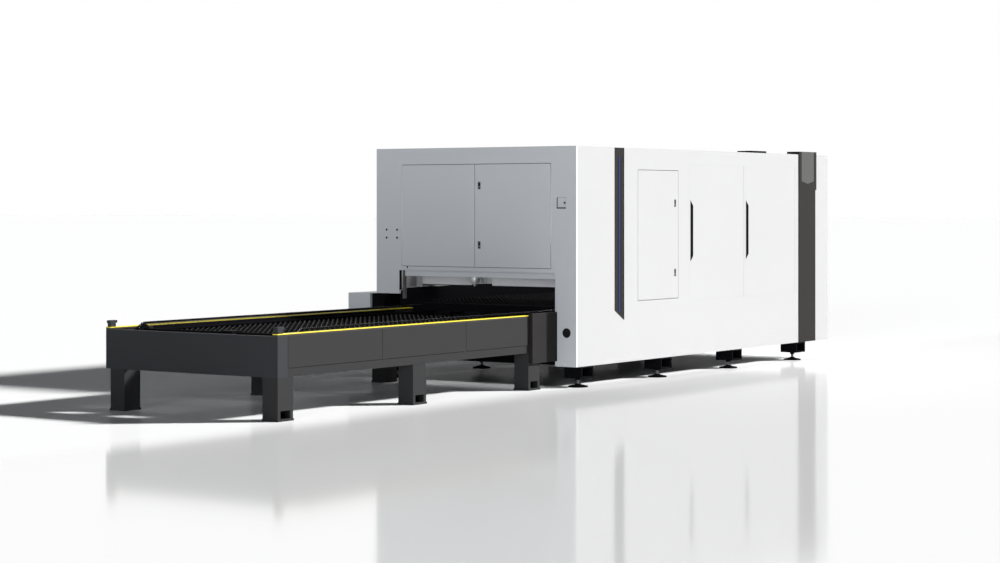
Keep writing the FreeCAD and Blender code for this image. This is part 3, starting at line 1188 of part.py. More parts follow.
def z_slide():
    """The plate that the head hangs on, with the nut round the screw."""
    x1 = SCREW_Z_X + 14
    z0, z1 = BEAM_Z0 + 60, BEAM_Z0 + BEAM_HEIGHT + 130
    plate = box(HEAD_X + 16, HEAD_X + 30, CARRIAGE_Y - 70, CARRIAGE_Y + 70, z0, z1)
    nut = box(HEAD_X + 30, x1, CARRIAGE_Y - 20, CARRIAGE_Y + 20, BEAM_Z0 + 150, BEAM_Z0 + 210)
    shoes = []
    for y in z_rail_places():
        for z in (BEAM_Z0 + 112, BEAM_Z0 + 230):
            shoe = box(HEAD_X + 30, x1, y - 16, y + 16, z, z + 40)
            shoes.append(shoe.cut(box(x1 - 10.5, x1 + 1, y - 8.4, y + 8.4, z - 1, z + 41)))
    start = (SCREW_Z_X, CARRIAGE_Y, BEAM_Z0 + 140)
    return fused([plate, nut] + shoes).cut(bore(SCREW_Z_R + TURNING_GAP, 90, start, Z_DIR))


def cutting_head():
    """The cutting head: a stepped body over a ceramic ring and a conical nozzle."""
    x, y, z = HEAD_X - 45, CARRIAGE_Y, NOZZLE_Z
    body = box(x - 48, HEAD_X + 16, y - 52, y + 52, z + 150, z + 330)
    lens_drawer = box(x - 40, x + 40, y - 64, y + 64, z + 96, z + 150)
    nozzle = [(0, 0), (4, 0), (15, 20), (15, 32), (26, 38), (34, 60), (34, 98), (0, 98)]
    collimator = [(0, 0), (38, 0), (38, 70), (22, 84), (22, 130), (12, 190), (0, 190)]
    round_parts = [turned(nozzle, (x, y, z), Z_DIR, 12), turned(collimator, (x, y, z + 328), Z_DIR, 12)]
    return fused([body, lens_drawer] + round_parts)


def build():
    """Write every node."""
    os.makedirs("parts", exist_ok=True)
    near_leaf, far_leaf = split_at_seam(END_DOORS, END_SEAM_Y)
    export("bed_frame", *bed_frame())
    export("levelling_feet", *levelling_feet())
    export("x_rails", *x_rails())
    export("pallet_tracks", *pallet_tracks())
    export("slag_trays", *slag_trays())
    export("housing_frame", *housing_frame())
    export("end_wall", end_wall())
    export("near_wall", near_wall())
    export("far_wall", far_wall())
    export("rear_wall", plain_wall(REAR_WALL, HOUSING_Y0, HOUSING_Y1))
    export("roof", roof())
    export("column_cover", column_cover())
    export("accent_strip", accent_strip())
    export("light_strip", light_outline(-4.5, -1))
    export("dust_duct", *dust_duct())
    export("roof_cover", roof_cover())
    export("flap_guides", *flap_guides())
    export("entry_flap", entry_flap())
    export("end_door_far", door_leaf(END_WALL, far_leaf, True))
    leaf = door_leaf(END_WALL, near_leaf, False)
    export("end_door_near", with_latches(leaf, END_WALL, END_LATCH_Y, END_LATCH_Z))
    for name, z in zip(("end_latch_upper", "end_latch_lower"), END_LATCH_Z):
        export(name, latch_paddle(END_WALL, END_LATCH_Y, z))
    service = door_leaf(NEAR_WALL, SERVICE_DOOR, False)
    export("service_door", with_latches(service, NEAR_WALL, SERVICE_LATCH_X, SERVICE_LATCH_Z))
    for name, z in zip(("service_latch_upper", "service_latch_lower"), SERVICE_LATCH_Z):
        export(name, latch_paddle(NEAR_WALL, SERVICE_LATCH_X, z))
    for name, opening in zip(("left", "right"), FRONT_DOORS):
        export("front_door_" + name, *front_door(opening))
        export("front_handle_" + name, *door_handle(opening))
    export("reset_button", reset_button())
    export("gantry_beam", gantry_beam())
    export("x_pinions", *x_pinions())
    export("beam_bellows", *beam_bellows())
    export("y_carriage", y_carriage())
    export("y_pinion", y_pinion())
    export("z_screw", z_screw())
    export("z_slide", z_slide())
    export("cutting_head", cutting_head())
    export("table_frame", *table_frame())
    export("table_end_panel", table_end_panel())
    export("table_side_panels", *table_side_panels())
    export("safety_strips", *safety_strips())
    export("cable_tray", cable_tray())
    export("end_stops", *end_stops())
    export("drive_cover", drive_cover())
    export("lift_frame", *lift_frame())
    export("lift_cylinders", *lift_cylinders())
    export("lift_rods", *lift_rods())
    export("drive_chains", chain_loop(-1), chain_loop(1))
    export("drive_shaft", *drive_shaft())
    export("tail_sprockets", *tail_sprockets())
    export("gearmotor", gearmotor())
    lower = UPPER_TRACK_Z - LEVEL_DROP
    pallets = (("outer", INNER_PALLET_X0 - PALLET_TRAVEL, lower), ("inner", INNER_PALLET_X0, UPPER_TRACK_Z))
    for name, x0, track_z in pallets:
        export(name + "_pallet_frame", *pallet_frame(x0, track_z))
        export(name + "_pallet_slats", *pallet_slats(x0, track_z))
        for end, x in zip(("front", "rear"), wheel_places(x0)):
            export(name + "_" + end + "_wheels", *wheel_pair(x, track_z))


build()
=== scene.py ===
"""Dresses the packed fiber laser cutting machine: studio, finishes and fine detail of each sub-assembly."""

import logging
import math
from dataclasses import dataclass, field
from enum import Enum
from typing import Iterator, Sequence

import bmesh
import bpy
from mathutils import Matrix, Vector


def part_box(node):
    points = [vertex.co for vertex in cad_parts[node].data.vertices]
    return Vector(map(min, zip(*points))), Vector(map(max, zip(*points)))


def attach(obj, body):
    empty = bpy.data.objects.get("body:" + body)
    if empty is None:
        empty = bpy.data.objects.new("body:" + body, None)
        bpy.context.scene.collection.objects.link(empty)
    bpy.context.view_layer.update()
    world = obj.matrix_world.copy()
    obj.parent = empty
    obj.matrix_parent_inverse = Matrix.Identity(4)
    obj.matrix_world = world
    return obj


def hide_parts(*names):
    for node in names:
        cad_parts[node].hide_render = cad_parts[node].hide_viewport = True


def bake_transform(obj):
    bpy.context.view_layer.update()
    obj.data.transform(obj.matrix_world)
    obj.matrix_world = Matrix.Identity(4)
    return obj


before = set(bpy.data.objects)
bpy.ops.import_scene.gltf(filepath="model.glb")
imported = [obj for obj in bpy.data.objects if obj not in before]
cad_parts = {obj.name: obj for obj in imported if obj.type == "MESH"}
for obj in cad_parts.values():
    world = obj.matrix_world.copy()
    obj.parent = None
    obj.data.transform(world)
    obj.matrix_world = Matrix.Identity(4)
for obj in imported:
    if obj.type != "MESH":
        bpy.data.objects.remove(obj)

LOG = logging.getLogger("scene")
Colour = tuple[float, float, float]
Point = tuple[float, float, float]
Profile = Sequence[tuple[float, float]]

UP = Vector((0.0, 0.0, 1.0))
ALONG = Vector((1.0, 0.0, 0.0))
ACROSS = Vector((0.0, 1.0, 0.0))
TABLE_MIDDLE = -0.155


class Slot(str, Enum):
    """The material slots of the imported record."""

    GREY_PAINT = "grey_paint"
    WHITE_PAINT = "white_paint"
    DARK_PAINT = "dark_paint"
    PANEL_PAINT = "panel_paint"
    BLACK_PAINT = "black_paint"
    COLUMN_PAINT = "column_paint"
    YELLOW_PAINT = "yellow_paint"
    MACHINED_STEEL = "machined_steel"
    SLAT_STEEL = "slat_steel"
    BLACK_RUBBER = "black_rubber"
    BLACK_PLASTIC = "black_plastic"
    WHITE_FABRIC = "white_fabric"
    HEAD_ALUMINIUM = "head_aluminium"
    LIGHT_LENS = "light_lens"
    DRIVE_GREY = "drive_grey"


class Axis(Enum):
    """A direction of the frame, as an index into a vector."""

    X = 0
    Y = 1
    Z = 2


# ---- shaders ----
class Socket:
    """A value in a node tree. Arithmetic on it adds Math nodes.

    Args:
        graph: the graph that the value belongs to.
        output: the node socket that carries it.
    """

    def __init__(self, graph: "ShaderGraph", output: bpy.types.NodeSocket) -> None:
        """Wraps one output of the graph."""
        self.graph = graph
        self.output = output

    def _math(self, operation: str, first: "Socket | float", second: "Socket | float") -> "Socket":
        """Adds one Math node and returns its result."""
        node = self.graph.node("ShaderNodeMath", {"operation": operation}, {0: first, 1: second})
        return Socket(self.graph, node.outputs[0])

    def __add__(self, other: "Socket | float") -> "Socket":
        """Returns the sum."""
        return self._math("ADD", self, other)

    def __radd__(self, other: float) -> "Socket":
        """Returns the sum with a number in front."""
        return self._math("ADD", other, self)

    def __sub__(self, other: "Socket | float") -> "Socket":
        """Returns the difference."""
        return self._math("SUBTRACT", self, other)

    def __rsub__(self, other: float) -> "Socket":
        """Returns a number less this value."""
        return self._math("SUBTRACT", other, self)

    def __mul__(self, other: "Socket | float") -> "Socket":
        """Returns the product."""
        return self._math("MULTIPLY", self, other)

    def __rmul__(self, other: float) -> "Socket":
        """Returns the product with a number in front."""
        return self._math("MULTIPLY", other, self)

    def smooth_step(self, low: float, high: float) -> "Socket":
        """Returns 0 below low, 1 above high and a smooth rise between them.

        Args:
            low: where the rise starts.
            high: where it ends.

        Returns:
            The eased value.
        """
        node = self.graph.node(
            "ShaderNodeMapRange",
            {"interpolation_type": "SMOOTHSTEP"},
            {"Value": self, "From Min": low, "From Max": high, "To Min": 0.0, "To Max": 1.0},
        )
        return Socket(self.graph, node.outputs["Result"])


class ShaderGraph:
    """The node tree of one material or world, with short ways to add to it.

    Args:
        tree: an empty node tree.
    """

    def __init__(self, tree: bpy.types.NodeTree) -> None:
        """Takes the tree that nodes are added to."""
        self.tree = tree

    def node(self, kind: str, settings: dict | None = None, inputs: dict | None = None) -> bpy.types.Node:
        """Adds a node, sets its options and then fills its inputs.

        Args:
            kind: the node's type.
            settings: option names and their values.
            inputs: input names or numbers, each with a value, a socket or a wrapped socket.

        Returns:
            The new node.
        """
        made = self.tree.nodes.new(kind)
        for name, value in (settings or {}).items():
            setattr(made, name, value)
        for name, value in (inputs or {}).items():
            if isinstance(value, Socket):
                self.tree.links.new(value.output, made.inputs[name])
            elif isinstance(value, bpy.types.NodeSocket):
                self.tree.links.new(value, made.inputs[name])
            else:
                made.inputs[name].default_value = value
        return made

    def place(self) -> Socket:
        """Returns the point's own coordinates, in metres."""
        return Socket(self, self.node("ShaderNodeTexCoord").outputs["Object"])

    def part_of_place(self, axis: Axis) -> Socket:
        """Returns one of the point's coordinates, in metres."""
        made = self.node("ShaderNodeSeparateXYZ", {}, {0: self.place()})
        return Socket(self, made.outputs[axis.value])

    def stretched(self, scale: Sequence[float]) -> Socket:
        """Returns the coordinates multiplied along each axis.

        Args:
            scale: a factor for each axis.

        Returns:
            The multiplied coordinates.
        """
        inputs = {0: self.place(), 1: tuple(scale)}
        made = self.node("ShaderNodeVectorMath", {"operation": "MULTIPLY"}, inputs)
        return Socket(self, made.outputs["Vector"])

    def noise(self, scale: float, detail: float = 3.0, vector: Socket | None = None) -> Socket:
        """Returns soft noise from 0 to 1 with that many cells a metre.

        Args:
            scale: the cells in a metre.
            detail: how many finer layers it has.
            vector: the coordinates, or none for the point's own.

        Returns:
            The noise.
        """
        made = self.node(
            "ShaderNodeTexNoise",
            {"noise_dimensions": "3D"},
            {"Vector": vector or self.place(), "Scale": scale, "Detail": detail, "Roughness": 0.55},
        )
        return Socket(self, made.outputs["Fac"])

    def mix(self, factor: Socket | float, low: Colour | Socket, high: Colour | Socket) -> Socket:
        """Returns a colour between two others.

        Args:
            factor: 0 for the first colour, and 1 for the second.
            low: the first colour.
            high: the second colour.

        Returns:
            The mixed colour.
        """
        inputs = {0: factor, 6: self._rgba(low), 7: self._rgba(high)}
        made = self.node("ShaderNodeMix", {"data_type": "RGBA"}, inputs)
        return Socket(self, made.outputs[2])

    @staticmethod
    def _rgba(colour: Colour | Socket) -> Socket | tuple[float, float, float, float]:
        """Returns a colour with its alpha, or a wrapped socket as it is."""
        return colour if isinstance(colour, Socket) else (*colour, 1.0)

    def bump(self, height: Socket, strength: float, distance: float) -> Socket:
        """Returns a normal that follows a height, in metres."""
        made = self.node("ShaderNodeBump", {}, {"Height": height, "Strength": strength, "Distance": distance})
        return Socket(self, made.outputs["Normal"])


@dataclass(frozen=True)
class Finish:
    """The look of one surface. Subclasses add their own texture to it."""

    colour: Colour
    roughness: float = 0.5
    metallic: float = 0.0
    coat: float = 0.0
    specular: float = 0.5

    def shade(self, graph: ShaderGraph) -> dict:
        """Returns the inputs of the surface shader that vary over the surface."""
        return {}

    def material(self, name: str) -> bpy.types.Material:
        """Builds the material.

        Args:
            name: the name that it gets.

        Returns:
            A node material whose fixed values are set on the shader itself.
        """
        made = bpy.data.materials.new(name)
        made.use_nodes = True
        made.node_tree.nodes.clear()
        graph = ShaderGraph(made.node_tree)
        inputs = {
            "Base Color": (*self.colour, 1.0),
            "Roughness": self.roughness,
            "Metallic": self.metallic,
            "Coat Weight": self.coat,
            "Specular IOR Level": self.specular,
        }
        inputs.update(self.shade(graph))
        surface = graph.node("ShaderNodeBsdfPrincipled", {}, inputs)
        graph.node("ShaderNodeOutputMaterial", {}, {"Surface": surface.outputs[0]})
        return made


@dataclass(frozen=True)
class PowderCoat(Finish):
    """Baked paint with its fine orange peel and slow changes of tone."""

    tone: float = 0.035
    peel: float = 0.25
    grain: float = 650.0

    def shade(self, graph: ShaderGraph) -> dict:
        """Returns a colour, roughness and normal that vary as baked paint does.

        Args:
            graph: the material's graph.

        Returns:
            The shader's inputs, by name.
        """
        slow = graph.noise(0.9, 2.0)
        fine = graph.noise(self.grain, 2.0)
        low = tuple(c * (1 - self.tone) for c in self.colour)
        high = tuple(min(1.0, c * (1 + self.tone)) for c in self.colour)
        blend = slow * 0.7 + fine * 0.3
        return {
            "Base Color": graph.mix(blend, low, high),
            "Roughness": self.roughness + (fine - 0.5) * 0.12,
            "Normal": graph.bump(fine, self.peel, 0.0002),
        }


@dataclass(frozen=True)
class BrushedMetal(Finish):
    """Metal with fine machining lines along one axis."""

    along: Axis = Axis.Y
    lines: float = 500.0

    def shade(self, graph: ShaderGraph) -> dict:
        """Returns streaks of tone and gloss.

        Args:
            graph: the material's graph.

        Returns:
            The shader's inputs, by name.
        """
        scale = [self.lines] * 3
        scale[self.along.value] = self.lines / 60
        streaks = graph.noise(1.0, 3.0, graph.stretched(scale))
        stain = graph.noise(6.0, 4.0)
        low = tuple(c * 0.72 for c in self.colour)
        return {
            "Base Color": graph.mix(streaks * 0.6 + stain * 0.4, low, self.colour),
            "Roughness": self.roughness + (streaks - 0.5) * 0.25,
            "Normal": graph.bump(streaks, 0.2, 0.0002),
        }


@dataclass(frozen=True)
class Moulded(Finish):
    """Rubber or plastic with a fine matt skin."""

    grain: float = 1200.0

    def shade(self, graph: ShaderGraph) -> dict:
        """Returns a grained skin with a little dust in it.

        Args:
            graph: the material's graph.

        Returns:
            The shader's inputs, by name.
        """
        fine = graph.noise(self.grain, 2.0)
        dust = graph.noise(14.0, 4.0).smooth_step(0.45, 0.8)
        high = tuple(min(1.0, c * 1.5 + 0.01) for c in self.colour)
        return {
            "Base Color": graph.mix(dust, self.colour, high),
            "Roughness": self.roughness + (fine - 0.5) * 0.15,
            "Normal": graph.bump(fine, 0.3, 0.0002),
        }


@dataclass(frozen=True)
class Woven(Finish):
    """Coated cloth, with its weave and soft soiling."""

    threads: float = 1400.0

    def shade(self, graph: ShaderGraph) -> dict:
        """Returns the weave as a fine relief.

        Args:
            graph: the material's graph.

        Returns:
            The shader's inputs, by name.
        """
        weave = graph.node(
            "ShaderNodeTexWave",
            {"wave_type": "BANDS", "bands_direction": "Z"},
            {"Vector": graph.place(), "Scale": self.threads / 6, "Distortion": 0.4},
        )
        soil = graph.noise(9.0, 4.0)
        low = tuple(c * 0.88 for c in self.colour)
        return {
            "Base Color": graph.mix(soil, low, self.colour),
            "Normal": graph.bump(Socket(graph, weave.outputs["Fac"]), 0.2, 0.0003),
        }


@dataclass(frozen=True)
class ShadedFootCloth(Woven):
    """Coated cloth painted dark along its foot, up to a height, as painted shade."""

    painted_shade: Colour = (0.015, 0.015, 0.016)
    shade_top: float = 0.873

    def shade(self, graph: ShaderGraph) -> dict:
        """Returns the cloth above that height and the painted shade below it.

        Args:
            graph: the material's graph.

        Returns:
            The shader's inputs, by name.
        """
        # Below this height the cloth is painted dark: painted shade at the foot of the cover.
        above = graph.part_of_place(Axis.Z).smooth_step(self.shade_top - 0.001, self.shade_top + 0.001)
        inputs = super().shade(graph)
        inputs["Base Color"] = graph.mix(above, self.painted_shade, inputs["Base Color"])
        return inputs


@dataclass(frozen=True)
class EdgedStrip(PowderCoat):
    """A painted strip that is dark along its foot, up to a height."""

    edge: Colour = (0.02, 0.015, 0.01)
    edge_top: float = 0.6555

    def shade(self, graph: ShaderGraph) -> dict:
        """Returns the paint above that height and a dark colour below it.

        Args:
            graph: the material's graph.

        Returns:
            The shader's inputs, by name.
        """
        above = graph.part_of_place(Axis.Z).smooth_step(self.edge_top - 0.001, self.edge_top + 0.001)
        inputs = super().shade(graph)
        inputs["Base Color"] = graph.mix(above, self.edge, inputs["Base Color"])
        return inputs


@dataclass(frozen=True)
class CutSlat(BrushedMetal):
    """Slats blackened by the work, with the tips of their teeth painted light: bare metal, and a painted
    glint.

    The two spans are the heights between which the tips of the lower and the upper pallet lie. Inside the
    housing the tips are darkened as painted shade.
    """

    tips: tuple[tuple[float, float], ...] = ((0.613, 0.640), (0.728, 0.760))
    glint_and_bare: Colour = (0.16, 0.16, 0.155)

    def shade(self, graph: ShaderGraph) -> dict:
        """Returns soot below, and scratched metal with a painted glint on the tips, darkened inside the
        housing as painted shade.

        Args:
            graph: the material's graph.

        Returns:
            The shader's inputs, by name.
        """
        height = graph.part_of_place(Axis.Z)
        scratch = graph.noise(180.0, 3.0)
        tip: Socket | float = 0.0
        for low, high in self.tips:
            tip = height.smooth_step(low, low + 0.008) * (1.0 - height.smooth_step(high, high + 0.01)) + tip
        # Painted shade: the tips are darkened where they lie inside the housing at rest.
        housing_shade = graph.part_of_place(Axis.X).smooth_step(-0.9, -0.4)
        # The tips are painted light: bare metal wear and a painted glint.
        wear_and_glint = tip * scratch.smooth_step(0.35, 0.6) * (1.0 - housing_shade * 0.9)
        soot = graph.mix(graph.noise(20.0, 4.0), tuple(c * 0.5 for c in self.colour), self.colour)
        return {
            "Base Color": graph.mix(wear_and_glint, soot, self.glint_and_bare),
            "Roughness": self.roughness - wear_and_glint * 0.2,
            "Normal": graph.bump(scratch, 0.3, 0.0003),
        }


@dataclass(frozen=True)
class Lit(Finish):
    """A dark lens with a lit line of diodes behind it.

    The line runs along Z, and is centred at a place along X. A width above one metre lights the whole lens.
    """

    light: Colour = (0.55, 0.62, 1.0)
    strength: float = 1.0
    center: float = 0.0
    width: float = 2.0
    pitch: float = 16.0

    def shade(self, graph: ShaderGraph) -> dict:
        """Returns an emission that swells at each diode and falls off beside the line.

        Args:
            graph: the material's graph.

        Returns:
            The shader's inputs, by name.
        """
        diodes = graph.node(
            "ShaderNodeTexWave",
            {"wave_type": "BANDS", "bands_direction": "Z", "wave_profile": "SIN"},
            {"Vector": graph.place(), "Scale": self.pitch},
        )
        swell = Socket(graph, diodes.outputs["Fac"]) * 0.25 + 0.75
        if self.width < 1.0:
            along = graph.part_of_place(Axis.X)
            rise = along.smooth_step(self.center - self.width, self.center - self.width * 0.3)
            fall = along.smooth_step(self.center + self.width * 0.3, self.center + self.width)
            swell = swell * rise * (1.0 - fall)
        glow = graph.mix(swell, (0.0, 0.0, 0.0), self.light)
        return {"Emission Color": glow, "Emission Strength": self.strength}


FINISHES: dict[Slot, Finish] = {
    Slot.GREY_PAINT: PowderCoat((0.51, 0.53, 0.55), 0.45, specular=0.3),
    Slot.WHITE_PAINT: PowderCoat((0.378, 0.378, 0.382), 0.5, specular=0.15),
    Slot.DARK_PAINT: PowderCoat((0.034, 0.036, 0.039), 0.6, specular=0.02),
    Slot.PANEL_PAINT: PowderCoat((0.030, 0.030, 0.031), 0.6, specular=0.02),
    Slot.BLACK_PAINT: PowderCoat((0.004, 0.004, 0.005), 0.7, specular=0.01),
    Slot.COLUMN_PAINT: PowderCoat((0.021, 0.020, 0.019), 0.6, specular=0.03),
    Slot.YELLOW_PAINT: EdgedStrip((0.80, 0.66, 0.02), 0.4, specular=0.3),
    Slot.MACHINED_STEEL: BrushedMetal((0.45, 0.45, 0.46), 0.42, 0.7),
    Slot.SLAT_STEEL: CutSlat((0.008, 0.008, 0.008), 0.8, 0.0, specular=0.03),
    Slot.BLACK_RUBBER: Moulded((0.006, 0.006, 0.006), 0.7, specular=0.1),
    Slot.BLACK_PLASTIC: Moulded((0.008, 0.008, 0.009), 0.5, specular=0.15),
    Slot.WHITE_FABRIC: ShadedFootCloth((0.70, 0.70, 0.71), 0.75, specular=0.2),
    Slot.HEAD_ALUMINIUM: BrushedMetal((0.72, 0.73, 0.75), 0.35, 0.6, along=Axis.Z),
    Slot.LIGHT_LENS: Lit(
        (0.008, 0.008, 0.012),
        0.6,
        specular=0.03,
        light=(0.06, 0.10, 0.42),
        strength=0.42,
        center=0.1295,
        width=0.019,
    ),
    Slot.DRIVE_GREY: PowderCoat((0.068, 0.068, 0.068), 0.5, specular=0.05),
}
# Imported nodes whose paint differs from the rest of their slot.
NODE_PAINTS: dict[str, Finish] = {
    "drive_cover": PowderCoat((0.019, 0.018, 0.018), 0.5, specular=0.03),
    "dust_duct": PowderCoat((0.53, 0.55, 0.57), 0.5, specular=0.2),
    "tail_sprockets": BrushedMetal((0.02, 0.02, 0.02), 0.6, 0.3, specular=0.05),
    "flap_guides": PowderCoat((0.10, 0.10, 0.105), 0.5, specular=0.1),
}
CHAMBER_LENS = Lit((0.8, 0.8, 0.8), 0.4, light=(1.0, 1.0, 1.0), strength=1.3)


# ---- studio ----
@dataclass(frozen=True)
class Sun:
    """One distant lamp.

    Args:
        name: the lamp's name.
        source: the direction that it shines from.
        strength: its output.
        spread: its apparent width, in degrees, which softens the shadows.
        tint: its colour.
    """

    name: str
    source: Point
    strength: float
    spread: float
    tint: Colour

    def build(self) -> None:
        """Adds the lamp to the scene."""
        data = bpy.data.lights.new(self.name, "SUN")
        data.energy = self.strength
        data.angle = math.radians(self.spread)
        data.color = self.tint
        made = bpy.data.objects.new(self.name, data)
        made.rotation_euler = (-Vector(self.source)).to_track_quat("-Z", "Y").to_euler()
        bpy.context.scene.collection.objects.link(made)


@dataclass
class Studio:
    """The camera, the lamps and the floor. They aren't part of the machine."""

    camera_at: Point = (-17.279, -11.904, 1.65)
    camera_turn: float = -55.546
    focal_length: float = 80.28
    sensor: float = 36.0
    shift_y: float = -0.0788
    floor_size: float = 400.0
    sky: float = 0.02
    glare: float = 1.5
    front: tuple[float, float] = (-1.7, -0.9)
    polish: tuple[float, float] = (0.28, 0.03)
    tone: tuple[float, float] = (0.75, 0.96)
    suns: tuple[Sun, ...] = (
        Sun("key", (1.3, -1.5, 1.0), 6.6, 5.0, (1.0, 0.995, 0.985)),
        Sun("fill", (-1.0, -0.35, 0.05), 1.95, 24.0, (0.93, 0.96, 1.0)),
        Sun("far_fill", (0.2, 1.0, 0.05), 0.5, 24.0, (0.97, 0.98, 1.0)),
    )
    chamber_at: Point = (1.7, -0.16, 2.03)
    chamber_size: tuple[float, float] = (4.2, 1.4)
    chamber_power: float = 100.0

    def build(self) -> None:
        """Makes the camera first, then the world, the lamps and the floor."""
        self.camera()
        self.world()
        self.lamps()
        self.floor()

    def camera(self) -> None:
        """The photograph's viewpoint: level, at a person's height, with the frame shifted down."""
        data = bpy.data.cameras.new("camera")
        data.lens = self.focal_length
        data.sensor_width = self.sensor
        data.shift_y = self.shift_y
        data.clip_end = 500.0
        made = bpy.data.objects.new("camera", data)
        made.location = self.camera_at
        made.rotation_euler = (math.radians(90), 0.0, math.radians(self.camera_turn))
        bpy.context.scene.collection.objects.link(made)
        bpy.context.scene.camera = made

    def world(self) -> None:
        """White to the camera, brighter still in mirror images, and a faint bluish light elsewhere."""
        world = bpy.data.worlds.new("studio")
        bpy.context.scene.world = world
        world.use_nodes = True
        world.node_tree.nodes.clear()
        graph = ShaderGraph(world.node_tree)
        rays = graph.node("ShaderNodeLightPath")
        seen = graph.node("ShaderNodeBackground", {}, {"Color": (1, 1, 1, 1), "Strength": 1.0})
        mirrored = graph.node("ShaderNodeBackground", {}, {"Color": (1, 1, 1, 1), "Strength": self.glare})
        light = graph.node("ShaderNodeBackground", {}, {"Color": (0.82, 0.92, 1.0, 1), "Strength": self.sky})
        for ray, shader in (("Is Glossy Ray", mirrored), ("Is Camera Ray", seen)):
            chosen = {0: rays.outputs[ray], 1: light.outputs[0], 2: shader.outputs[0]}
            light = graph.node("ShaderNodeMixShader", {}, chosen)
        graph.node("ShaderNodeOutputWorld", {}, {"Surface": light.outputs[0]})

    def lamps(self) -> None:
        """A low key from the right, a fill on the table's end, a weak one behind, and the chamber's lamp."""
        for lamp in self.suns:
            lamp.build()
        self.chamber_lamp()

    def chamber_lamp(self) -> None:
        """The light of the lamps under the machine's own roof."""
        data = bpy.data.lights.new("chamber", "AREA")
        data.shape = "RECTANGLE"
        data.size, data.size_y = self.chamber_size
        data.energy = self.chamber_power
        made = bpy.data.objects.new("chamber", data)
        made.location = self.chamber_at
        bpy.context.scene.collection.objects.link(made)

    def floor(self) -> None:
        """A polished white floor that shows the machine's shadow and, towards the front, its mirror image."""
        half = self.floor_size / 2
        mesh = bpy.data.meshes.new("floor")
        corners = [(-half, -half, 0), (half, -half, 0), (half, half, 0), (-half, half, 0)]
        mesh.from_pydata(corners, [], [(0, 1, 2, 3)])
        made = bpy.data.objects.new("floor", mesh)
        bpy.context.scene.collection.objects.link(made)
        material = bpy.data.materials.new("floor")
        material.use_nodes = True
        material.node_tree.nodes.clear()
        graph = ShaderGraph(material.node_tree)
        back = graph.part_of_place(Axis.Y).smooth_step(*self.front)
        tones = [(tone, tone * 1.004, tone * 1.01) for tone in self.tone]
        matt = graph.node("ShaderNodeBsdfDiffuse", {}, {"Color": graph.mix(back, *tones)})
        mirror = graph.node("ShaderNodeBsdfGlossy", {}, {"Color": (1, 1, 1, 1), "Roughness": 0.09})
        polish = self.polish[0] - back * (self.polish[0] - self.polish[1])
        mixed = graph.node("ShaderNodeMixShader", {}, {0: polish, 1: matt.outputs[0], 2: mirror.outputs[0]})
        graph.node("ShaderNodeOutputMaterial", {}, {"Surface": mixed.outputs[0]})
        mesh.materials.append(material)


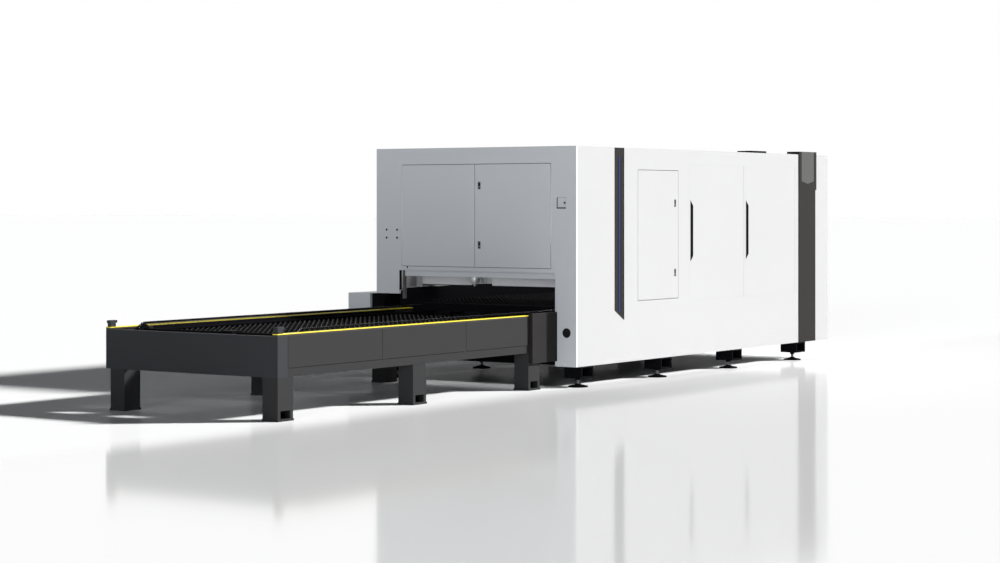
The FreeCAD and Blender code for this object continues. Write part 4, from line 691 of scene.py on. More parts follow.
# ---- meshes ----
class Shape:
    """A mesh under construction, in metres. Each method adds to it and returns it."""

    def __init__(self) -> None:
        """Starts with no faces."""
        self.mesh = bmesh.new()

    def block(self, low: Sequence[float], high: Sequence[float], bevel: float = 0.0) -> "Shape":
        """Adds a box between two corners, with its edges rounded by bevel.

        Args:
            low: its lowest corner.
            high: its highest corner.
            bevel: how far the edges are rounded, or 0 for sharp ones.

        Returns:
            This shape.
        """
        spans = list(zip(low, high))
        corners = [(x, y, z) for z in spans[2] for y in spans[1] for x in spans[0]]
        verts = [self.mesh.verts.new(p) for p in corners]
        sides = ((0, 2, 3, 1), (4, 5, 7, 6), (0, 1, 5, 4), (2, 6, 7, 3), (0, 4, 6, 2), (1, 3, 7, 5))
        faces = [self.mesh.faces.new([verts[i] for i in side]) for side in sides]
        if bevel > 0:
            edges = list({edge for face in faces for edge in face.edges})
            bmesh.ops.bevel(self.mesh, geom=edges, offset=bevel, segments=2, profile=0.5, affect="EDGES")
        return self

    def prism(self, outline: Sequence[Sequence[float]], along: Sequence[float]) -> "Shape":
        """Adds a closed outline that is carried along a vector.

        Args:
            outline: the closed outline.
            along: the vector.

        Returns:
            This shape.
        """
        step = Vector(along)
        low = [self.mesh.verts.new(p) for p in outline]
        high = [self.mesh.verts.new(Vector(p) + step) for p in outline]
        self.mesh.faces.new(low)
        self.mesh.faces.new(high)
        self._band(low, high)
        return self

    def collar(self, outer: Sequence[Point], inner: Sequence[Point], along: Sequence[float]) -> "Shape":
        """Adds a flat frame between two outlines with as many corners each, carried along a vector.

        Args:
            outer: the outline on the outside.
            inner: the outline on the inside.
            along: the vector.

        Returns:
            This shape.
        """
        step = Vector(along)
        rings = [[self.mesh.verts.new(Vector(p) + shift) for p in outline]
                 for outline, shift in ((outer, Vector()), (outer, step), (inner, step), (inner, Vector()))]
        for first, second in zip(rings, rings[1:] + rings[:1]):
            self._band(first, second)
        return self

    def lathe(self, profile: Profile, base: Sequence[float], axis: Vector = UP, sides: int = 40) -> "Shape":
        """Adds a turned piece.

        Args:
            profile: the closed outline, as pairs of radius and height.
            base: the point that the heights count from.
            axis: the direction that it is turned about.
            sides: how many faces go round it.

        Returns:
            This shape.
        """
        turn = UP.rotation_difference(axis)
        rings = []
        for radius, height in profile:
            count = sides if radius > 1e-6 else 1
            angles = [2 * math.pi * (i + 0.5) / sides for i in range(count)]
            points = [Vector((radius * math.cos(a), radius * math.sin(a), height)) for a in angles]
            rings.append([self.mesh.verts.new(Vector(base) + turn @ p) for p in points])
        for first, second in zip(rings, rings[1:] + rings[:1]):
            self._band(first, second)
        return self

    def fold(self, line: Sequence[tuple[float, float]], cloth: float, foot: float, top: float) -> "Shape":
        """Adds an upright folded sheet of one thickness, along a line seen from above.

        Args:
            line: the points of one face.
            cloth: the thickness, along X.
            foot: the height of the lower edge.
            top: the height of the upper edge.

        Returns:
            This shape.
        """
        rings = []
        for x, y in line:
            corners = ((x, y, foot), (x + cloth, y, foot), (x + cloth, y, top), (x, y, top))
            rings.append([self.mesh.verts.new(corner) for corner in corners])
        for first, second in zip(rings, rings[1:]):
            self._band(first, second)
        self.mesh.faces.new(rings[0])
        self.mesh.faces.new(rings[-1][::-1])
        return self

    def _band(self, first: list, second: list) -> None:
        """Adds the faces between two rings. A ring of one point makes a cone's tip.

        Args:
            first: the corners of one ring.
            second: the corners of the other, in the same order.
        """
        count = max(len(first), len(second))
        if count == 1:
            return
        for i in range(count):
            k = (i + 1) % count
            near = [first[i], first[k]] if len(first) > 1 else [first[0]]
            far = [second[k], second[i]] if len(second) > 1 else [second[0]]
            self.mesh.faces.new(near + far)


@dataclass
class Workshop:
    """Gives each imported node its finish, and turns shapes into pieces that ride on the machine."""

    smooth_below: float = 35.0
    materials: dict[str, bpy.types.Material] = field(default_factory=dict)

    def material(self, slot: Slot) -> bpy.types.Material:
        """Returns the one material of a slot.

        Args:
            slot: the slot.

        Returns:
            Its material, which is built the first time.
        """
        if slot.value not in self.materials:
            self.materials[slot.value] = FINISHES[slot].material(slot.value)
        return self.materials[slot.value]

    def dress_frame(self) -> None:
        """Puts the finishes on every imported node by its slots, and then the paints of a few named nodes."""
        known = {slot.value: slot for slot in Slot}
        for name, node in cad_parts.items():
            for place in node.material_slots:
                base = place.material.name.split(".")[0] if place.material else ""
                if base in known:
                    place.material = self.material(known[base])
                else:
                    LOG.warning("node %s has the unknown material %s", name, base)
        for name, paint in NODE_PAINTS.items():
            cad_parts[name].material_slots[0].material = paint.material(name + "_paint")

    def piece(
        self, shape: Shape, name: str, body: str, slot: Slot, replaces: Sequence[str] = ()
    ) -> bpy.types.Object:
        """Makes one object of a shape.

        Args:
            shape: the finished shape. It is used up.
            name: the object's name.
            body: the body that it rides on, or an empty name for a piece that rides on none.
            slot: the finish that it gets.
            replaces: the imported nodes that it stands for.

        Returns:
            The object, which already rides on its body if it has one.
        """
        bmesh.ops.recalc_face_normals(shape.mesh, faces=shape.mesh.faces)
        for face in shape.mesh.faces:
            face.smooth = True
        mesh = bpy.data.meshes.new(name)
        shape.mesh.to_mesh(mesh)
        shape.mesh.free()
        mesh.set_sharp_from_angle(angle=math.radians(self.smooth_below))
        mesh.materials.append(self.material(slot))
        made = bpy.data.objects.new(name, mesh)
        bpy.context.scene.collection.objects.link(made)
        if body:
            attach(made, body)
        if replaces:
            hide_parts(*replaces)
        LOG.info("%s on %s", name, body or "two bodies")
        return made


def screw_head(shape: Shape, at: Sequence[float], axis: Vector, radius: float = 0.007) -> None:
    """Adds a low button head with its socket.

    Args:
        shape: the shape that it is added to.
        at: the middle of its seat.
        axis: the direction that it faces.
        radius: its radius.
    """
    profile = [(0.0, 0.0), (radius, 0.0), (radius * 0.97, radius * 0.2), (radius * 0.7, radius * 0.45),
               (radius * 0.38, radius * 0.5), (radius * 0.36, radius * 0.2), (0.0, radius * 0.2)]
    shape.lathe(profile, at, axis, 20)


def rectangle(a: tuple[float, float], b: tuple[float, float], level: float, normal: Axis) -> list[Point]:
    """Returns the corners of a rectangle that faces along X or Y.

    Args:
        a: where it starts along the wall, and where it ends.
        b: its lowest and highest point.
        level: its place along the axis that it faces.
        normal: that axis.

    Returns:
        The four corners, in order.
    """
    pairs = ((a[0], b[0]), (a[1], b[0]), (a[1], b[1]), (a[0], b[1]))
    return [(level, s, z) if normal is Axis.X else (s, level, z) for s, z in pairs]


# ---- the machine ----
@dataclass
class Housing:
    """The small parts on the sheet housing: bezels, lock barrels, handles' trim, screws, seals and lamps."""

    shop: Workshop
    end_face: float = -0.600
    near_face: float = -1.280
    port: tuple[float, float] = (-1.178, 0.491)
    button: tuple[float, float] = (-1.151, 1.649)
    latch_half: tuple[float, float] = (0.0105, 0.031)
    bezel: float = 0.0035
    proud: float = 0.0015
    end_latches: tuple[Point, ...] = ((-0.600, -0.230, 1.807), (-0.600, -0.230, 1.264))
    service_latches: tuple[Point, ...] = ((1.149, -1.280, 1.645), (1.149, -1.280, 0.986))
    end_doors: tuple[float, float, float, float] = (-1.013, 0.654, 1.057, 2.005)
    side_doors: tuple[tuple[float, float, float, float], ...] = (
        (0.460, 1.212, 0.740, 1.957),
        (1.417, 2.522, 0.700, 2.020),
        (2.542, 3.647, 0.700, 2.020),
    )
    handle_offset: float = 0.052
    handle_half: float = 0.023
    handle_span: tuple[float, float] = (1.092, 1.667)
    handle_slant: float = 0.046
    grip_ribs: int = 29
    grip_start: float = 0.070
    grip_pitch: float = 0.015
    screws: tuple[tuple[float, float], ...] = (
        (0.278, 0.465),
        (0.278, 0.271),
        (0.015, 0.206),
        (-0.560, 0.206),
    )
    bracket_holes: tuple[tuple[float, float], ...] = (
        (0.709, 1.322),
        (0.831, 1.322),
        (0.709, 1.397),
        (0.831, 1.397),
    )
    recess: tuple[float, float, float, float] = (-1.170, -1.073, 1.597, 1.698)
    recess_depth: float = 0.012
    jamb: tuple[float, float, float] = (0.682, 0.835, 1.018)
    jamb_depth: float = 0.036
    stud: tuple[float, float] = (0.587, 1.049)
    inset: tuple[float, float, float, float, float] = (3.782, 4.071, 1.8755, 1.8475, 2.184)
    seal_depth: float = 0.0213
    seal_edges: tuple[float, float] = (0.001, 0.013)
    seal_thickness: float = 0.0016
    lamp_rows: tuple[tuple[str, float], ...] = (("near", -1.00), ("far", 0.67))
    lamp_foot: tuple[float, float] = (-0.30, 2.070)
    lamp_length: float = 4.4
    lens: tuple[float, float] = (0.030, 0.022)
    lens_steps: int = 12

    def build(self) -> None:
        """Makes all of them."""
        self.grommet()
        self.latches()
        self.handles()
        self.wall_screws()
        self.hole_inserts()
        self.reset_button()
        self.recess_painted_shade()
        self.entry_trim()
        self.seals()
        self.seam_fillers()
        self.accent_edge()
        self.column_inset()
        self.chamber_lights()

    def grommet(self) -> None:
        """The rubber grommet that closes the cable port, with a crowned lip and a thin skin."""
        profile = [(0.0, 0.001), (0.024, 0.002), (0.027, 0.006), (0.034, 0.0065), (0.041, 0.004),
                   (0.043, 0.0), (0.0315, 0.0), (0.0315, -0.012), (0.028, -0.012), (0.026, -0.002),
                   (0.0, -0.002)]
        shape = Shape().lathe(profile, (self.end_face, *self.port), -ALONG, 48)
        self.shop.piece(shape, "port_grommet", "machine", Slot.BLACK_RUBBER)

    def latches(self) -> None:
        """A bezel round each latch pocket, and a lock barrel in each paddle."""
        groups = (("end", "end_door_near", self.end_latches, Axis.X, -ALONG),
                  ("service", "service_door", self.service_latches, Axis.Y, -ACROSS))
        lock = [(0.0, 0.0), (0.0052, 0.0), (0.0050, 0.0010), (0.0040, 0.0014), (0.0036, 0.0008),
                (0.0, 0.0008)]
        for name, door, places, normal, outward in groups:
            bezels = Shape()
            for level, at in zip(("upper", "lower"), places):
                self._bezel(bezels, at, normal, outward)
                barrel = Shape()
                center = Vector(at) - outward * 0.0005 - UP * 0.012
                barrel.lathe(lock, center, outward, 24)
                latch = name + "_latch_" + level
                self.shop.piece(barrel, name + "_lock_" + level, latch, Slot.MACHINED_STEEL)
            self.shop.piece(bezels, name + "_latch_bezels", door, Slot.BLACK_PLASTIC)

    def _bezel(self, shape: Shape, at: Point, normal: Axis, outward: Vector) -> None:
        """Adds the frame round one pocket.

        Args:
            shape: the shape that it is added to.
            at: the pocket's middle.
            normal: the axis that the wall faces.
            outward: the direction away from the wall.
        """
        along = at[1] if normal is Axis.X else at[0]
        level = at[normal.value]
        half, high = self.latch_half
        edges = []
        for grow in (self.bezel, 0.0002):
            across = (along - half - grow, along + half + grow)
            upright = (at[2] - high - grow, at[2] + high + grow)
            edges.append(rectangle(across, upright, level, normal))
        shape.collar(edges[0], edges[1], outward * self.proud)

    def handle_outline(self, door_start: float, grow: float) -> list[Point]:
        """Returns a recessed handle's outline: upright, with both ends slanted inwards.

        Args:
            door_start: where the door begins along the wall.
            grow: how far the outline lies outside the cut-out.

        Returns:
            The four corners.
        """
        center = door_start + self.handle_offset
        s0, s1 = center - self.handle_half - grow, center + self.handle_half + grow
        low, high = self.handle_span
        slant = self.handle_slant
        slope = slant / (2 * self.handle_half)
        sharp, blunt = grow * (math.hypot(1, slope) + slope), grow * (math.hypot(1, slope) - slope)
        outline = (
            (s0, low - sharp),
            (s1, low + slant - blunt),
            (s1, high - slant + blunt),
            (s0, high + sharp),
        )
        return [(s, self.near_face, z) for s, z in outline]

    def handles(self) -> None:
        """A slim bezel round each recessed handle, and a ribbed rubber grip on its lip."""
        for side, door in zip(("left", "right"), self.side_doors[1:]):
            body = "front_door_" + side
            outer, inner = (self.handle_outline(door[0], grow) for grow in (0.003, -0.0022))
            shape = Shape().collar(outer, inner, -ACROSS * self.proud)
            self.shop.piece(shape, "handle_bezel_" + side, body, Slot.BLACK_PLASTIC)
            grip = Shape()
            x0 = door[0] + self.handle_offset - self.handle_half + 0.0035
            front, back = self.near_face + 0.0008, self.near_face + 0.0022
            for i in range(self.grip_ribs):
                z = self.handle_span[0] + self.grip_start + i * self.grip_pitch
                grip.block((x0, front, z), (x0 + 0.0075, back, z + 0.010), 0.0005)
            self.shop.piece(grip, "handle_grip_" + side, body, Slot.BLACK_RUBBER)

    def wall_screws(self) -> None:
        """The few screws that show on the near wall, and the black bumper stud on the end wall."""
        shape = Shape()
        for x, z in self.screws:
            screw_head(shape, (x, self.near_face, z), -ACROSS)
        self.shop.piece(shape, "wall_screws", "machine", Slot.MACHINED_STEEL)
        bumper = [(0.0, 0.0), (0.008, 0.0), (0.008, 0.004), (0.006, 0.006), (0.0, 0.0065)]
        stud = Shape().lathe(bumper, (self.end_face, *self.stud), -ALONG, 28)
        self.shop.piece(stud, "door_bumper", "machine", Slot.BLACK_RUBBER)

    def hole_inserts(self) -> None:
        """A flanged insert in each bracket hole."""
        shape = Shape()
        profile = [(0.0065, 0.0012), (0.0100, 0.0010), (0.0105, 0.0),
                   (0.0069, 0.0), (0.0069, -0.015), (0.0060, -0.015)]
        for y, z in self.bracket_holes:
            shape.lathe(profile, (self.end_face, y, z), -ALONG, 28)
        self.shop.piece(shape, "bracket_inserts", "machine", Slot.BLACK_PAINT)

    def recess_painted_shade(self) -> None:
        """Dark sheets on the sides of the square recess, with a raised sill: painted shade of a recess too
        shallow to shade itself.
        """
        y0, y1, z0, z1 = self.recess
        x0, x1 = self.end_face + 0.0003, self.end_face + self.recess_depth
        shape = Shape()
        # Painted shade: dark sheets on the recess's sides and a dark sill at its foot.
        edges = [rectangle((y0 + g, y1 - g), (z0 + g, z1 - g), x0, Axis.X) for g in (0.0001, 0.002)]
        shape.collar(edges[0], edges[1], ALONG * (x1 - x0))
        shape.block((x1 - 0.004, y0 + 0.002, z0 + 0.002), (x1 - 0.0001, y1 - 0.002, z0 + 0.011), 0.001)
        self.shop.piece(shape, "recess_painted_shade", "machine", Slot.DRIVE_GREY)

    def entry_trim(self) -> None:
        """The rubber trim on the far jamb of the pallet opening."""
        y1, z0, z1 = self.jamb
        low = (self.end_face - 0.0005, y1 - 0.0018, z0)
        shape = Shape().block(low, (self.end_face + self.jamb_depth, y1 - 0.0002, z1), 0.0005)
        self.shop.piece(shape, "entry_trim", "machine", Slot.BLACK_RUBBER)

    def seam_fillers(self) -> None:
        """White strips that close the seams round the front doors, thinner where the leaf turns in."""
        shape = Shape()
        thick, thin, play = 0.0046, 0.0022, 0.0001
        front, back = self.near_face + 0.0002, self.near_face + 0.0040
        for s0, s1, z0, z1 in self.side_doors[1:]:
            for low, high in ((z0 + play, z0 + thick), (z1 - thick, z1 - play)):
                shape.block((s0 + play, front, low), (s1 - play, back, high))
            for left, right in ((s0 + play, s0 + thick), (s1 - thin, s1 - play)):
                shape.block((left, front, z0 + thick), (right, back, z1 - thick))
        self.shop.piece(shape, "seam_fillers", "machine", Slot.WHITE_PAINT)

    def column_inset(self) -> None:
        """The lighter plate in the hood's pointed recess."""
        x0, x1, side_z, tip_z, top = self.inset
        outline = [(x0, side_z), ((x0 + x1) / 2, tip_z), (x1, side_z), (x1, top), (x0, top)]
        shape = Shape().prism([(x, self.near_face - 0.0060, z) for x, z in outline], -ACROSS * 0.0015)
        self.shop.piece(shape, "column_inset", "machine", Slot.DRIVE_GREY)

    def reset_button(self) -> None:
        """A round push button in place of the plain one, and the ring that it sits in."""
        low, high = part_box("reset_button")
        depth = high[0] - low[0]
        cap = [(0.0, 0.0), (0.0052, 0.0002), (0.0072, 0.0010), (0.0079, 0.0022), (0.0079, 0.0050),
               (0.0046, 0.0050), (0.0046, depth), (0.0, depth)]
        shape = Shape().lathe(cap, (low[0], *self.button), ALONG, 40)
        self.shop.piece(shape, "button_cap", "reset_button", Slot.BLACK_PLASTIC, ["reset_button"])
        ring = [(0.0086, 0.0), (0.0125, 0.0), (0.0122, 0.0025), (0.0110, 0.0034), (0.0088, 0.0030)]
        seat = Shape().lathe(ring, (self.end_face + self.recess_depth, *self.button), -ALONG, 40)
        self.shop.piece(seat, "button_ring", "machine", Slot.MACHINED_STEEL)

    def seals(self) -> None:
        """The foam seals that the doors close on: black in the end wall, and white in the near wall."""
        dark = [(self.end_doors, Axis.X, self.end_face, ALONG)]
        pale = [(door, Axis.Y, self.near_face, ACROSS) for door in self.side_doors]
        groups = (("end_seals", dark, Slot.BLACK_RUBBER), ("near_seals", pale, Slot.WHITE_PAINT))
        for name, openings, slot in groups:
            shape = Shape()
            for (s0, s1, z0, z1), normal, face, inward in openings:
                level = face + self.seal_depth
                edges = [rectangle((s0 + g, s1 - g), (z0 + g, z1 - g), level, normal)
                         for g in self.seal_edges]
                shape.collar(edges[0], edges[1], inward * self.seal_thickness)
            self.shop.piece(shape, name, "machine", slot)

    def accent_edge(self) -> None:
        """The black edge strip that closes the accent's rear side."""
        low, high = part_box("accent_strip")
        inner = high[0] - 0.012
        outline = [(inner, 0.5925), (high[0], 0.580), (high[0], high[2]), (inner, high[2])]
        shape = Shape().prism([(x, low[1], z) for x, z in outline], -ACROSS * 0.003)
        self.shop.piece(shape, "accent_edge", "machine", Slot.BLACK_RUBBER)

    def chamber_lights(self) -> None:
        """Two long lamps with rounded lenses under the roof."""
        x, z = self.lamp_foot
        half, drop = self.lens
        for name, y in self.lamp_rows:
            outline = []
            for i in range(self.lens_steps + 1):
                angle = math.pi * (1 + i / self.lens_steps)
                outline.append((x, y + half * math.cos(angle), z + drop * math.sin(angle)))
            shape = Shape().prism(outline, ALONG * self.lamp_length)
            made = self.shop.piece(shape, "chamber_light_" + name, "machine", Slot.LIGHT_LENS)
            made.data.materials[0] = CHAMBER_LENS.material("chamber_lens_" + name)


@dataclass
class Bed:
    """The levelling feet, turned and threaded."""

    shop: Workshop
    first_x: float = -0.413
    pitch: float = 1.397
    rows: tuple[float, float] = (-1.180, 0.850)
    count: int = 4
    thread_pitch: float = 0.004
    thread_top: float = 0.144

    def build(self) -> None:
        """Makes the pads, nuts and screws."""
        pads, nuts, screws = Shape(), Shape(), Shape()
        pad = [(0.0, 0.0), (0.086, 0.0), (0.090, 0.003), (0.090, 0.009), (0.086, 0.0115), (0.050, 0.019),
               (0.026, 0.026), (0.023, 0.031), (0.0, 0.031)]
        for x, y in self.places():
            pads.lathe(pad, (x, y, 0.0), UP, 56)
            corners = [(x + 0.027 * math.cos(a), y + 0.027 * math.sin(a), 0.0635)
                       for a in (math.pi * (i + 0.5) / 3 for i in range(6))]
            nuts.prism(corners, UP * 0.0190)
            nuts.lathe([(0.0, 0.0), (0.0228, 0.0), (0.0240, 0.0010), (0.0240, 0.0020), (0.0, 0.0020)],
                       (x, y, 0.0620), UP, 36)
            screws.lathe(self.thread(), (x, y, 0.0), UP, 28)
        self.shop.piece(pads, "foot_pads", "machine", Slot.BLACK_PAINT, ["levelling_feet"])
        self.shop.piece(nuts, "foot_nuts", "machine", Slot.BLACK_PAINT, ["levelling_feet"])
        self.shop.piece(screws, "foot_screws", "machine", Slot.MACHINED_STEEL, ["levelling_feet"])

    def places(self) -> Iterator[tuple[float, float]]:
        """Walks along both rows of feet.

        Yields:
            Where each foot stands, as its place along and across.
        """
        for y in self.rows:
            for i in range(self.count):
                yield self.first_x + i * self.pitch, y

    def thread(self) -> Profile:
        """Returns the closed outline of a threaded rod.

        Returns:
            Pairs of radius and height.
        """
        bottom = 0.029
        turns = int((self.thread_top - bottom) / self.thread_pitch)
        outline = [(0.0, bottom), (0.0136, bottom)]
        for i in range(turns):
            low = bottom + i * self.thread_pitch
            outline += [(0.0150, low + self.thread_pitch / 2), (0.0136, low + self.thread_pitch)]
        return outline + [(0.0, outline[-1][1])]


@dataclass
class ChainDrive:
    """The two roller chains of the exchange drive, link by link."""

    shop: Workshop
    offset: float = 0.822
    drive_x: float = -4.033
    tail_x: float = 0.020
    shaft_z: float = 0.617
    radius: float = 0.0651
    links: int = 336
    plate_half: float = 0.0076

    def build(self) -> None:
        """Makes both chains."""
        for name, side in (("near", -1), ("far", 1)):
            plates, rollers = Shape(), Shape()
            for i in range(self.links):
                self.link(plates, rollers, i, TABLE_MIDDLE + side * self.offset)
            self.shop.piece(plates, "chain_plates_" + name, "machine", Slot.BLACK_PAINT, ["drive_chains"])
            rolling = "chain_rollers_" + name
            self.shop.piece(rollers, rolling, "machine", Slot.MACHINED_STEEL, ["drive_chains"])

    def place(self, run: float) -> tuple[Vector, float]:
        """Returns a point of the chain's path, and the direction there as an angle in the XZ plane.

        Args:
            run: the distance along the chain.

        Returns:
            The point and the angle.
        """
        straight = self.tail_x - self.drive_x
        half_turn = math.pi * self.radius
        run %= 2 * (straight + half_turn)
        if run < straight:
            return Vector((self.drive_x + run, 0.0, self.shaft_z + self.radius)), 0.0
        run -= straight
        if run < half_turn:
            angle = run / self.radius
            return self.rim(self.tail_x, math.pi / 2 - angle), -angle
        run -= half_turn
        if run < straight:
            return Vector((self.tail_x - run, 0.0, self.shaft_z - self.radius)), math.pi
        angle = (run - straight) / self.radius
        return self.rim(self.drive_x, -math.pi / 2 - angle), math.pi - angle

    def rim(self, x: float, angle: float) -> Vector:
        """Returns a point on the pitch circle of the sprocket at x."""
        return Vector((x + self.radius * math.cos(angle), 0.0, self.shaft_z + self.radius * math.sin(angle)))

    def link(self, plates: Shape, rollers: Shape, index: int, y: float) -> None:
        """Adds one link: two waisted plates, the roller between them and the pin that joins the next.

        Args:
            plates: the shape that takes the plates.
            rollers: the shape that takes the roller and the pins.
            index: which link it is.
            y: the chain's place across the table.
        """
        length = 2 * (self.tail_x - self.drive_x + math.pi * self.radius) / self.links
        start, _ = self.place(index * length)
        end, _ = self.place((index + 1) * length)
        along = (end - start).normalized()
        up = Vector((-along.z, 0.0, along.x))
        half = self.plate_half
        outline = [(-half * 0.9, 0.0), (-half * 0.5, half * 0.85), (half * 0.3, half),
                   (length / 2, half * 0.62), (length - half * 0.3, half),
                   (length + half * 0.5, half * 0.85), (length + half * 0.9, 0.0)]
        outline += [(a, -b) for a, b in reversed(outline[1:-1])]
        outer = index % 2 == 0
        inset = 0.0084 if outer else 0.0058
        for side in (-1, 1):
            corners = [start + along * a + up * b + ACROSS * (y + side * inset) for a, b in outline]
            plates.prism(corners, ACROSS * (side * 0.0020))
        roller = [(0.0, -0.0056), (0.0062, -0.0056), (0.0062, 0.0056), (0.0, 0.0056)]
        rollers.lathe(roller, start + ACROSS * y, ACROSS, 10)
        if outer:
            for point in (start, end):
                pin = [(0.0, -0.0104), (0.0028, -0.0104), (0.0028, 0.0104), (0.0, 0.0104)]
                rollers.lathe(pin, point + ACROSS * y, ACROSS, 8)


@dataclass
class ExchangeTable:
    """Welds, rubber pads, cooling fins and rod wipers of the table."""

    shop: Workshop
    leg_x: tuple[float, ...] = (-4.405, -2.704, -1.012)
    leg_y: tuple[float, float] = (-1.045, 0.535)
    leg_size: tuple[float, float] = (0.180, 0.150)
    plate_top: float = 0.015
    bead: float = 0.005
    cylinders_x: tuple[float, float] = (-4.315, -0.922)
    cylinder_offset: float = 0.795
    cylinder_top: float = 0.430
    motor: tuple[float, float, float] = (-4.308, -0.270, 0.480)
    fins: int = 11
    fin_start: float = 0.040
    fin_pitch: float = 0.0135
    fin_radii: tuple[float, float, float] = (0.0585, 0.0615, 0.0665)

    def build(self) -> None:
        """Makes all of them."""
        self.welds()
        self.stop_pads()
        self.motor_fins()
        self.wipers()

    def welds(self) -> None:
        """A rippled fillet weld round the foot of each leg."""
        shape = Shape()
        for x in self.leg_x:
            for y in self.leg_y:
                self.weld_round(shape, (x, y), (x + self.leg_size[0], y + self.leg_size[1]))
        self.shop.piece(shape, "leg_welds", "machine", Slot.PANEL_PAINT)

    def weld_round(self, shape: Shape, low: tuple[float, float], high: tuple[float, float]) -> None:
        """Adds one closed weld bead round a rectangle on the base plate.

        Args:
            shape: the shape that it is added to.
            low: the rectangle's lowest corner.
            high: its highest corner.
        """
        corners = [Vector((low[0], low[1], 0)), Vector((high[0], low[1], 0)),
                   Vector((high[0], high[1], 0)), Vector((low[0], high[1], 0))]
        middle = (corners[0] + corners[2]) / 2
        rings = []
        step = 0.006
        for start, end in zip(corners, corners[1:] + corners[:1]):
            count = int((end - start).length / step)
            for i in range(count):
                point = start.lerp(end, i / count)
                outward = point - middle
                outward = Vector((outward.x / self.leg_size[0], outward.y / self.leg_size[1], 0)).normalized()
                size = self.bead * (0.82 + 0.18 * math.sin(len(rings) * 1.9))
                base = point + UP * self.plate_top
                crown = base + outward * size * 0.6 + UP * size * 0.6
                profile = (base, base + outward * min(size, 0.0048), crown, base + UP * size)
                rings.append([shape.mesh.verts.new(p) for p in profile])
        for first, second in zip(rings, rings[1:] + rings[:1]):
            for i in range(3):
                shape.mesh.faces.new((first[i], first[i + 1], second[i + 1], second[i]))

    def stop_pads(self) -> None:
        """A grooved rubber pad on the inner face of each end stop."""
        low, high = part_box("end_stops")
        shape = Shape()
        for y in (low[1] + 0.020, high[1] - 0.020):
            for i in range(3):
                z = high[2] - 0.0145 + i * 0.005
                corner = (high[0] - 0.0004, y - 0.017, z)
                shape.block(corner, (high[0] + 0.003, y + 0.017, z + 0.0035), 0.0008)
        self.shop.piece(shape, "stop_pads", "machine", Slot.BLACK_RUBBER)

    def motor_fins(self) -> None:
        """Cooling fins and a fan cowl round the drive motor, and its terminal box."""
        shape = Shape()
        x, y, z = self.motor
        inner, root, rim = self.fin_radii
        outline = [(inner, self.fin_start)]
        for i in range(self.fins):
            start = self.fin_start + i * self.fin_pitch
            outline += [(rim, start), (rim, start + 0.005), (root, start + 0.0055), (root, start + 0.013)]
        outline += [(inner, outline[-1][1])]
        shape.lathe(outline, (x, y, z), ALONG, 44)
        cowl = [(0.0, -0.004), (0.050, -0.004), (0.0665, 0.004), (0.0670, 0.036),
                (0.0585, 0.036), (0.0585, 0.002), (0.0, 0.002)]
        shape.lathe(cowl, (x, y, z), ALONG, 44)
        shape.block((x + 0.070, y - 0.110, z - 0.035), (x + 0.150, y - 0.062, z + 0.035), 0.004)
        self.shop.piece(shape, "motor_fins", "machine", Slot.BLACK_PAINT)

    def wipers(self) -> None:
        """The wiper ring on top of each lift cylinder."""
        shape = Shape()
        profile = [(0.0136, 0.0), (0.0205, 0.0), (0.0200, 0.0045), (0.0160, 0.0070), (0.0136, 0.0060)]
        for x in self.cylinders_x:
            for side in (-1, 1):
                y = TABLE_MIDDLE + side * self.cylinder_offset
                shape.lathe(profile, (x, y, self.cylinder_top), UP, 32)
        self.shop.piece(shape, "rod_wipers", "machine", Slot.BLACK_RUBBER)


@dataclass
class Pallets:
    """The pallets' toothed slats and round wheels."""

    shop: Workshop
    slats: int = 47
    teeth: int = 28
    tooth_depth: float = 0.018
    thickness: float = 0.004
    wheel_radius: float = 0.0317
    wheel_width: float = 0.028
    wheel_offset: float = 0.754

    def build(self) -> None:
        """Makes both pallets' pieces."""
        for name in ("outer", "inner"):
            self.slat_row(name)
            for end in ("front", "rear"):
                self.wheels(name + "_" + end + "_wheels")

    def slat_row(self, name: str) -> None:
        """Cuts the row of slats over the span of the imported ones.

        Args:
            name: which pallet.
        """
        node = name + "_pallet_slats"
        low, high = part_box(node)
        valley = high[2] - self.tooth_depth
        pitch = (high[1] - low[1]) / self.teeth
        outline = [(high[1], low[2]), (low[1], low[2]), (low[1], valley)]
        for i in range(self.teeth):
            y = low[1] + i * pitch
            outline += [(y + pitch * 0.44, high[2]), (y + pitch * 0.56, high[2]), (y + pitch, valley)]
        shape = Shape()
        step = (high[0] - low[0] - self.thickness) / (self.slats - 1)
        for i in range(self.slats):
            shape.prism([(low[0] + i * step, y, z) for y, z in outline], ALONG * self.thickness)
        self.shop.piece(shape, name + "_slats", name + "_pallet", Slot.SLAT_STEEL, [node])

    def wheels(self, node: str) -> None:
        """Turns one pair of wheels, each with a recessed web and a hub cap.

        Args:
            node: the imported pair.
        """
        low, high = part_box(node)
        x, z = (low[0] + high[0]) / 2, (low[2] + high[2]) / 2
        r, w = self.wheel_radius, self.wheel_width
        profile = [(0.0, 0.001), (0.015, 0.001), (0.016, 0.005), (r - 0.008, 0.005), (r - 0.006, 0.0),
                   (r - 0.001, 0.0), (r, 0.001), (r, w - 0.001), (r - 0.001, w), (r - 0.006, w),
                   (r - 0.008, w - 0.005), (0.015, w - 0.005), (0.014, w - 0.001), (0.0, w)]
        shape = Shape()
        for side in (-1, 1):
            shape.lathe(profile, (x, TABLE_MIDDLE + side * self.wheel_offset, z), ACROSS * side, 48)
        self.shop.piece(shape, node + "_turned", node, Slot.BLACK_PLASTIC, [node])


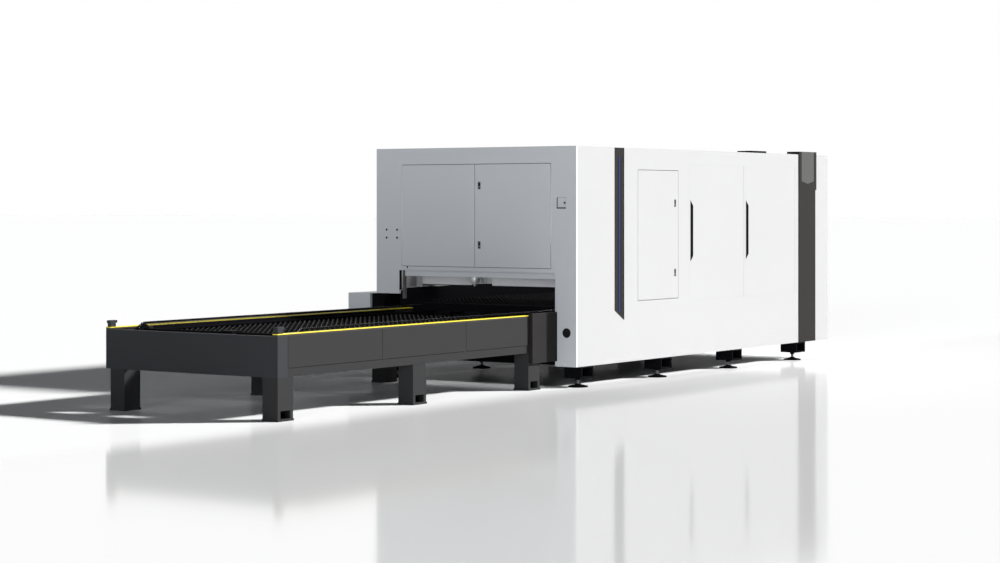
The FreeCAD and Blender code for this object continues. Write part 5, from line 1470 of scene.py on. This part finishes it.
@dataclass
class Bellows:
    """The two pleated covers of the beam, folded as they lie at rest."""

    shop: Workshop
    ends: tuple[float, float] = (-1.120, 0.790)
    carriage: tuple[float, float] = (-0.020, 0.230)
    pleat: float = 0.0165
    cloth: float = 0.0014
    soft: float = 0.002
    turns: tuple[float, ...] = (0.0, 0.08, 0.44, 0.5, 0.56, 0.92)

    def build(self) -> None:
        """Makes both covers, each reaching from its end on the beam to the carriage's place at rest."""
        self.cover("bellows_near", self.ends[0], self.carriage[0])
        self.cover("bellows_far", self.ends[1], self.carriage[1])

    def cover(self, name: str, fixed: float, moving: float) -> None:
        """Folds one cover.

        Args:
            name: the piece's name.
            fixed: the place across the machine of the end on the beam.
            moving: the place of the end on the carriage.
        """
        low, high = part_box("beam_bellows")
        count = round(abs(moving - fixed) / self.pleat)
        step = (moving - fixed) / count
        valley, crest = high[0] - self.cloth, low[0]
        levels = (valley, valley - self.soft, crest + self.soft, crest, crest + self.soft, valley - self.soft)
        front = []
        for i in range(count):
            y = fixed + i * step
            front += [(level, y + step * part) for level, part in zip(levels, self.turns)]
        front.append((valley, moving))
        shape = Shape().fold(front, self.cloth, low[2], high[2])
        made = self.shop.piece(shape, name, "", Slot.WHITE_FABRIC, ["beam_bellows"])
        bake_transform(made)


@dataclass
class CuttingHead:
    """The head, with rounded housings and turned parts in place of the faceted ones."""

    shop: Workshop
    x: float = -0.195
    y: float = 0.105
    tip: float = 0.862

    def build(self) -> None:
        """Makes the head's body and its nozzle."""
        x, y, z = self.x, self.y, self.tip
        body = Shape()
        body.block((x - 0.048, y - 0.052, z + 0.150), (x + 0.061, y + 0.052, z + 0.330), 0.004)
        body.block((x - 0.040, y - 0.064, z + 0.096), (x + 0.040, y + 0.064, z + 0.1495), 0.003)
        neck = [(0.0, 0.032), (0.015, 0.032), (0.026, 0.038), (0.034, 0.060), (0.034, 0.064), (0.0325, 0.066),
                (0.0325, 0.070), (0.034, 0.072), (0.034, 0.098), (0.0, 0.098)]
        body.lathe(neck, (x, y, z), UP, 56)
        tube = [(0.0, 0.0), (0.038, 0.0), (0.038, 0.068), (0.036, 0.071), (0.022, 0.084), (0.022, 0.128),
                (0.020, 0.134), (0.012, 0.190), (0.0, 0.190)]
        body.lathe(tube, (x, y, z + 0.328), UP, 56)
        self.shop.piece(body, "head_body", "head", Slot.HEAD_ALUMINIUM, ["cutting_head"])
        nozzle = Shape()
        profile = [(0.0012, 0.0), (0.0038, 0.0), (0.0045, 0.0012),
                   (0.0150, 0.0195), (0.0150, 0.0325), (0.0012, 0.0325)]
        nozzle.lathe(profile, (x, y, z), UP, 48)
        self.shop.piece(nozzle, "head_nozzle", "head", Slot.MACHINED_STEEL, ["cutting_head"])


def main() -> None:
    """Builds the studio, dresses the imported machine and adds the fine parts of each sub-assembly."""
    logging.basicConfig(level=logging.INFO)
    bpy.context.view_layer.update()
    bpy.context.scene.view_settings.view_transform = "Standard"
    Studio().build()
    shop = Workshop()
    shop.dress_frame()
    for assembly in (Housing, Bed, ChainDrive, ExchangeTable, Pallets, Bellows, CuttingHead):
        assembly(shop).build()


if __name__ == "__main__":
    main()
